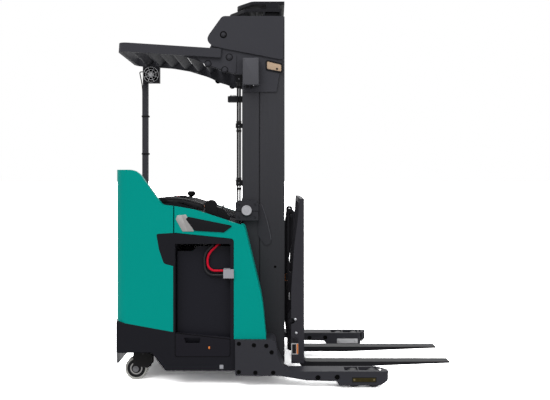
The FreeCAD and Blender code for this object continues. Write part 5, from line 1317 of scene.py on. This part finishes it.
# ------------------------------------------------------------------ controls
# Places on the dash, x from its reference line and y from the truck's middle.
DASH_LINE = 0.075
POD_SPAN = (-0.215, -0.045)
DISPLAY_SPOT = (-0.005, -0.130, 0.0248)
DISPLAY_LEAN = (0.025, 0.100)
KEY_COLUMN = -0.0335
KEY_PLACES = (-0.045, -0.015, 0.015, 0.045)
SWITCH_LINE = -0.02
KEY_SWITCH_Y = 0.005
STOP_Y = 0.075
ROCKER_LINE = 0.045
ROCKER_PLACES = (-0.01, 0.02, 0.05, 0.08)
TRAY_SPOT = (-0.005, -0.345)
TILLER_HUB = 0.112
HUB_SCREW_CIRCLE = 0.028
KNOB_SET_IN = 0.032
KNOB_AROUND = 24
HANDLE_RIBS = (-0.021, -0.007, 0.007, 0.021)
RIB_POINTS = 12
class REACHTRUCK_OT_dash(bpy.types.Operator):
    """Display, key switch, stop button, rockers and tray on the dash"""

    bl_idname = "reachtruck.dash"
    bl_label = "Dash"

    def execute(self, context):
        low, high = corners("console")
        top = high[2]
        x = low[0] + DASH_LINE
        pod = [(x - 0.055, top), (x + 0.060, top), (x + 0.060, top + 0.034), (x + 0.045, top + 0.037),
               (x - 0.055, top + 0.012)]
        fit("display_pod", "dash_plastic", "dash_plastic",
            slab_rings("side", rounded(pod, 0.005), *POD_SPAN, 0.006))
        lean = pitch(-math.degrees(math.atan2(*DISPLAY_LEAN)))
        place = [(x + DISPLAY_SPOT[0], DISPLAY_SPOT[1], top + DISPLAY_SPOT[2])]
        bezel = frame_rings("plan", oblong(0, 0, 0.088, 0.142, 0.008), 0.008, -0.001, 0.0022)
        fit("display_bezel", "grip_plastic", "grip_plastic", stood(bezel, place, lean), hoop=True)
        screen = slab_rings("plan", oblong(0.006, 0, 0.060, 0.126, 0.004), -0.001, 0.0012)
        fit("display_screen", "glass_dark", "plug_grey", stood(screen, place, lean))
        key = slab_rings("plan", oblong(0, 0, 0.009, 0.013, 0.003), 0, 0.0026, 0.0008)
        keys = [np.array((KEY_COLUMN, y, 0)) for y in KEY_PLACES]
        rows = [stood(key + k, place, lean) for k in keys]
        fit("display_keys", "clamp_grey", "plug_grey", *rows)
        self.switches(x, top)
        return {"FINISHED"}

    def switches(self, x, top):
        """Round and rocker switches between the display and the tiller, and a tray before the arm rest."""
        key_spot, stop_spot = ([(x + SWITCH_LINE, y, top)] for y in (KEY_SWITCH_Y, STOP_Y))
        barrel = disc_rings((0.015, 0.004), (0.013, 0.007), (0.008, 0.007), (0.008, 0.004), around=28)
        key = slab_rings("plan", oblong(0, 0, 0.024, 0.005, 0.002), 0.004, 0.026, 0.0015)
        fit("key_switch", "bumper_steel", "bumper_steel", stood(barrel, key_spot), stood(key, key_spot))
        collar = disc_rings((0.021, 0.004), (0.019, 0.006), around=28)
        fit("stop_collar", "label_white", "plug_grey", stood(collar, stop_spot))
        knob = disc_rings((0.010, 0.006), (0.010, 0.014), (0.0165, 0.016), (0.0165, 0.022), (0.012, 0.026),
                          around=28)
        fit("stop_knob", "stop_red", "lead_red", stood(knob, stop_spot))
        rocker = slab_rings("side", rounded(((-0.011, 0), (0.011, 0), (0.010, 0.007), (0, 0.004),
                                             (-0.010, 0.005)), 0.001),
                            -0.007, 0.007, 0.001)
        spots = [(x + ROCKER_LINE, y, top) for y in ROCKER_PLACES]
        fit("dash_rockers", "grip_plastic", "grip_plastic", stood(rocker, spots))
        tray_x, tray_y = x + TRAY_SPOT[0], TRAY_SPOT[1]
        tray = frame_rings("plan", oblong(tray_x, tray_y, 0.105, 0.190, 0.014), 0.004, top, top + 0.010)
        fit("tray_rim", "dash_plastic", "dash_plastic", tray, hoop=True)
        liner = slab_rings("plan", oblong(tray_x, tray_y, 0.097, 0.182, 0.010), top, top + 0.0015)
        fit("tray_liner", "mat_rubber", "mat_rubber", liner)


class REACHTRUCK_OT_hand_controls(bpy.types.Operator):
    """Ribs and cap of the steering knob, and the buttons and finger levers of the control handle"""

    bl_idname = "reachtruck.hand_controls"
    bl_label = "Hand controls"

    def execute(self, context):
        low, high = corners("steering_tiller")
        x, y = high[0] - KNOB_SET_IN, (low[1] + high[1]) / 2
        angle = angles(KNOB_AROUND)
        circle = np.stack((np.cos(angle), np.sin(angle), np.zeros(KNOB_AROUND)), 1)
        ribs = [tube_rings(circle * 0.0322 + (x, y, high[2] - 0.0285 + 0.0055 * i), 0.0011, 6, True)[None]
                for i in range(4)]
        fit("knob_ribs", "grip_plastic", "grip_plastic", *ribs, hoop=True, body="steering_tiller")
        boss = disc_rings((0.040, 0.003), (0.036, 0.006), (0.020, 0.006), (0.018, 0.004), around=36)
        hub = low[0] + TILLER_HUB
        spots = [(hub, y, low[2] + 0.018)]
        screws = [(hub + HUB_SCREW_CIRCLE * math.cos(a), y + HUB_SCREW_CIRCLE * math.sin(a), low[2] + 0.024)
                  for a in (math.pi / 6, math.pi * 5 / 6, math.pi * 3 / 2)]
        fit("tiller_boss", "dash_plastic", "grip_plastic", stood(boss, spots),
            stood(socket_rings(0.004, 0.002), screws), sharp=BOLT_SHARP, body="steering_tiller")
        self.handle()
        return {"FINISHED"}

    def handle(self):
        """Two thumb buttons on the pod's rear face, ribs over its dome and three levers on the module."""
        low, high = corners("control_handle")
        y = (low[1] + high[1]) / 2
        buttons = disc_rings((0.009, 0.002), (0.0075, 0.004), around=24)
        spots = [(low[0], y + d, high[2] - 0.045) for d in (-0.013, 0.013)]
        fit("thumb_buttons", "orange", "lead_red", stood(buttons, spots, "-X"))
        a = np.linspace(math.radians(25), math.radians(155), RIB_POINTS)
        arc_x, arc_z = low[0] + 0.041 - 0.036 * np.cos(a), high[2] - 0.0365 + 0.0365 * np.sin(a)
        ribs = [tube_rings(np.stack((arc_x, np.full(RIB_POINTS, y + d), arc_z), 1), 0.0014, 6)[None]
                for d in HANDLE_RIBS]
        fit("handle_ribs", "grip_plastic", "grip_plastic", *ribs)
        lever = slab_rings("side", rounded(((-0.004, 0), (0.004, 0), (0.012, 0.022), (0.006, 0.026),
                                            (-0.002, 0.020)), 0.002),
                           -0.005, 0.005, 0.0015)
        seat = top_height("control_handle", high[0] - 0.050, y) - 0.002
        spots = [(high[0] - 0.050, y + d, seat) for d in (-0.015, 0.0, 0.015)]
        fit("finger_levers", "dash_plastic", "grip_plastic", stood(lever, spots))


HOOD_LANE = 0.20
LID_Y = 0.13
CELL_PITCH = (0.118, 0.160)
CELL_HEIGHT = 0.012
TRAY_DEPTH = 0.040


class REACHTRUCK_OT_hood_trim(bpy.types.Operator):
    """Raised lid, louvres and latches on the sloping hood"""

    bl_idname = "reachtruck.hood_trim"
    bl_label = "Hood trim"

    def execute(self, context):
        low, high = corners("hood")
        rear, front = low[0] + 0.06, high[0] - 0.03
        z_rear, z_front = (top_height("hood", x, HOOD_LANE) for x in (rear, front))
        lean = pitch(math.degrees(math.atan2(z_rear - z_front, front - rear)))
        x, z = (rear + front) / 2, (z_rear + z_front) / 2
        lid_place = [(x, LID_Y, z)]
        run = math.hypot(front - rear, z_rear - z_front)
        lid = slab_rings("plan", oblong(0, 0, run, 0.62, 0.03), -0.001, 0.006, 0.003)
        fit("hood_lid", "hood_plastic", "hood_plastic", stood(lid, lid_place, lean))
        louvre = slab_rings("side", ((-0.006, 0), (0.006, 0), (0.004, 0.006), (-0.005, 0.002)), -0.11, 0.11)
        rows = [louvre + (-0.07 + 0.018 * i, 0, 0.0055) for i in range(8)]
        fit("hood_louvres", "dash_plastic", "hood_plastic",
            *[stood(r, [(x, HOOD_LANE, z)], lean) for r in rows])
        latch = disc_rings((0.016, 0.003), (0.014, 0.005), (0.011, 0.003), around=28)
        bar = slab_rings("plan", oblong(0, 0, 0.020, 0.005, 0.002), 0.002, 0.0055, 0.001)
        sets = [stood(form + (-run / 2 + 0.025, d, 0.0055), lid_place, lean)
                for form in (latch, bar) for d in (-0.24, 0.24)]
        fit("hood_latches", "grip_plastic", "hood_plastic", *sets)
        return {"FINISHED"}


class REACHTRUCK_OT_battery_trim(bpy.types.Operator):
    """Cells, vent caps and links in the battery's open top"""

    bl_idname = "reachtruck.battery_trim"
    bl_label = "Battery cells"

    def execute(self, context):
        low, high = corners("battery")
        pitch_x, pitch_y = CELL_PITCH
        floor = high[2] - TRAY_DEPTH
        spots = [((low[0] + high[0]) / 2 + pitch_x * i, 0.001 + pitch_y * j, floor)
                 for i in (-1, 0, 1) for j in (-2, -1, 0, 1, 2)]
        cell = slab_rings("plan", oblong(0, 0, pitch_x - 0.006, pitch_y - 0.006, 0.008), 0, CELL_HEIGHT,
                          0.003)
        fit("battery_cells", "battery_case", "battery_case", stood(cell, spots))
        cap = disc_rings((0.014, 0.004), (0.014, 0.007), (0.010, 0.009), around=20)
        caps = [(x, y, z + CELL_HEIGHT) for x, y, z in spots]
        fit("battery_caps", "clamp_grey", "battery_case", stood(cap, caps))
        link = slab_rings("plan", oblong(0, 0, 0.018, pitch_y * 0.62, 0.008), CELL_HEIGHT,
                          CELL_HEIGHT + 0.004, 0.001)
        links = [(x + 0.035, y + pitch_y / 2, z) for x, y, z in spots if y < pitch_y * 1.5]
        fit("battery_links", "gear_iron", "gear_iron", stood(link, links))
        return {"FINISHED"}


# ------------------------------------------------------------------ pads
# The space left for the foam to swell into, the size of a face, and how far the piping lies inside the rim.
PAD_ROOM = 0.004
PAD_FACE = 0.006
PIPING_SET_IN = 0.009
LEAN_PAD_CHANNELS = (0.90, 1.04, 1.18)


def even_mesh(piece, voxel):
    """Rebuild a piece's surface with even faces of a voxel's size."""
    even = piece.modifiers.new("even", "REMESH")
    even.mode = "VOXEL"
    even.voxel_size = voxel
    bpy.context.view_layer.update()
    seen = piece.evaluated_get(bpy.context.evaluated_depsgraph_get())
    mesh = bpy.data.meshes.new_from_object(seen)
    piece.modifiers.remove(even)
    piece.data = mesh


def points_of(mesh):
    """A mesh's points as an array."""
    flat = np.empty(len(mesh.vertices) * 3)
    mesh.vertices.foreach_get("co", flat)
    return flat.reshape(-1, 3)


def swell(piece, sizes, pressure=4.0):
    """Blow the cover up with cloth under pressure. No point may move further than the pads' swell."""
    rest = points_of(piece.data)
    cloth = piece.modifiers.new("foam", "CLOTH")
    cloth.settings.use_pressure = True
    cloth.settings.uniform_pressure_force = pressure
    cloth.settings.effector_weights.gravity = 0.0
    cloth.point_cache.frame_start = 1
    cloth.point_cache.frame_end = sizes.pad_frames
    for step in range(1, sizes.pad_frames + 1):
        bpy.context.scene.frame_set(step)
    seen = piece.evaluated_get(bpy.context.evaluated_depsgraph_get())
    move = points_of(seen.data) - rest
    far = np.linalg.norm(move, axis=1, keepdims=True)
    move *= np.minimum(1.0, sizes.pad_swell / np.maximum(far, 1e-9))
    piece.modifiers.remove(cloth)
    piece.data.vertices.foreach_set("co", (rest + move).ravel())
    bpy.context.scene.frame_set(1)


def sew(piece, centre, channels, depth=0.004, width=0.008):
    """Pull sewn channels in. Channels are (axis, place).

    A point moves towards the pad's centre plane by the depth times a bell curve of its distance from the
    channel's line.
    """
    spots = points_of(piece.data)
    toward = np.sign(centre - spots[:, 1])
    for axis, place in channels:
        spots[:, 1] += toward * depth * np.exp(-((spots[:, axis] - place) / width) ** 2)
    piece.data.vertices.foreach_set("co", spots.ravel())


def make_pad(name, outline, low, high, sizes, channels=()):
    """A foam pad between two depths, starting smaller than its space, swollen, sewn and smoothed."""
    piece = skin(name, slab_rings("side", inset(outline, PAD_ROOM), low + PAD_ROOM, high - PAD_ROOM, 0.010))
    even_mesh(piece, PAD_FACE)
    swell(piece, sizes)
    sew(piece, (low + high) / 2, channels)
    piece.data.polygons.foreach_set("use_smooth", np.ones(len(piece.data.polygons), bool))
    soft = piece.modifiers.new("smooth", "SUBSURF")
    soft.levels = soft.render_levels = 1
    give(piece, "pad_vinyl", "truck")
    return piece


def piping(name, outline, depths, radius=0.0022):
    """Round piping along a pad's rims."""
    rims = [tube_rings(ring_at("side", outline, depth), radius, 8, True)[None] for depth in depths]
    return fit(name, "grip_plastic", "pad_vinyl", *rims, hoop=True)


class REACHTRUCK_OT_pads(bpy.types.Operator):
    """Arm rest and lean pad: foam under vinyl, swollen with cloth, with piping; the lean pad is sewn"""

    bl_idname = "reachtruck.pads"
    bl_label = "Pads"

    def execute(self, context):
        sizes = context.scene.reach_truck_sizes
        low, high = corners("operator_pads")
        top = corners("console")[1][2]
        front, heel, seam = high[0], high[0] - 0.057, high[0] - 0.205
        slope = [top_height("hood", x, low[1] + 0.04) + 0.003 for x in (heel, front)]
        rest = rounded(((seam - 0.128, top + 0.0003), (seam + 0.024, top + 0.0003),
                        (heel - 0.008, top - 0.034),
                        (heel, slope[0]), (front, slope[1]), (front, top - 0.006),
                        (seam + 0.060, top + 0.030),
                        (seam - 0.128, top + 0.040)),
                       (0.008, 0.040, 0.002, 0.002, 0.008, 0.012, 0.120, 0.014))
        y0, y1 = low[1] + 0.008, high[1]
        arm = make_pad("arm_rest", rest, y0, y1, sizes)
        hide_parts("operator_pads")
        piping("arm_rest_piping", inset(rest, PIPING_SET_IN), (y0 + 0.006, y1 - 0.006))
        back = low[0]
        lean = rounded(((back, 0.760), (back + 0.200, 0.760), (back + 0.200, 1.080), (back + 0.090, 1.400),
                        (back, 1.400)), (0.040, 0.040, 0.060, 0.050, 0.030))
        channels = [(2, z) for z in LEAN_PAD_CHANNELS]
        make_pad("lean_pad", lean, low[1], low[1] + 0.040, sizes, channels)
        piping("lean_pad_piping", inset(lean, PIPING_SET_IN), (low[1] + 0.033,))
        return {"FINISHED"}


OPERATORS = (REACHTRUCK_OT_studio, REACHTRUCK_OT_finishes, REACHTRUCK_OT_side_badges,
             REACHTRUCK_OT_body_fittings, REACHTRUCK_OT_floor_mat, REACHTRUCK_OT_leg_fittings,
             REACHTRUCK_OT_carriage_fittings, REACHTRUCK_OT_wheel_trim, REACHTRUCK_OT_guard_fittings,
             REACHTRUCK_OT_electrics, REACHTRUCK_OT_fan_grille, REACHTRUCK_OT_mast_trim, REACHTRUCK_OT_dash,
             REACHTRUCK_OT_hand_controls, REACHTRUCK_OT_hood_trim, REACHTRUCK_OT_battery_trim,
             REACHTRUCK_OT_pads)


class REACHTRUCK_PT_panel(bpy.types.Panel):
    """Every step of the truck's looks, in order"""

    bl_idname = "REACHTRUCK_PT_panel"
    bl_label = "Reach truck"
    bl_space_type = "VIEW_3D"
    bl_region_type = "UI"
    bl_category = "Reach truck"

    def draw(self, context):
        for step in OPERATORS:
            self.layout.operator(step.bl_idname)


CLASSES = (ReachTruckSizes, ReachTruckColours) + OPERATORS + (REACHTRUCK_PT_panel,)


def register():
    """Register the classes and their settings."""
    for item in CLASSES:
        bpy.utils.register_class(item)
    bpy.types.Scene.reach_truck_sizes = PointerProperty(type=ReachTruckSizes)
    bpy.types.Scene.reach_truck_colours = PointerProperty(type=ReachTruckColours)


def unregister():
    """Take the settings and classes away again."""
    del bpy.types.Scene.reach_truck_colours
    del bpy.types.Scene.reach_truck_sizes
    for item in reversed(CLASSES):
        bpy.utils.unregister_class(item)


def main():
    """Run every step in order."""
    register()
    for step in OPERATORS:
        getattr(bpy.ops.reachtruck, step.bl_idname.split(".")[1])()


if __name__ == "__main__":
    main()
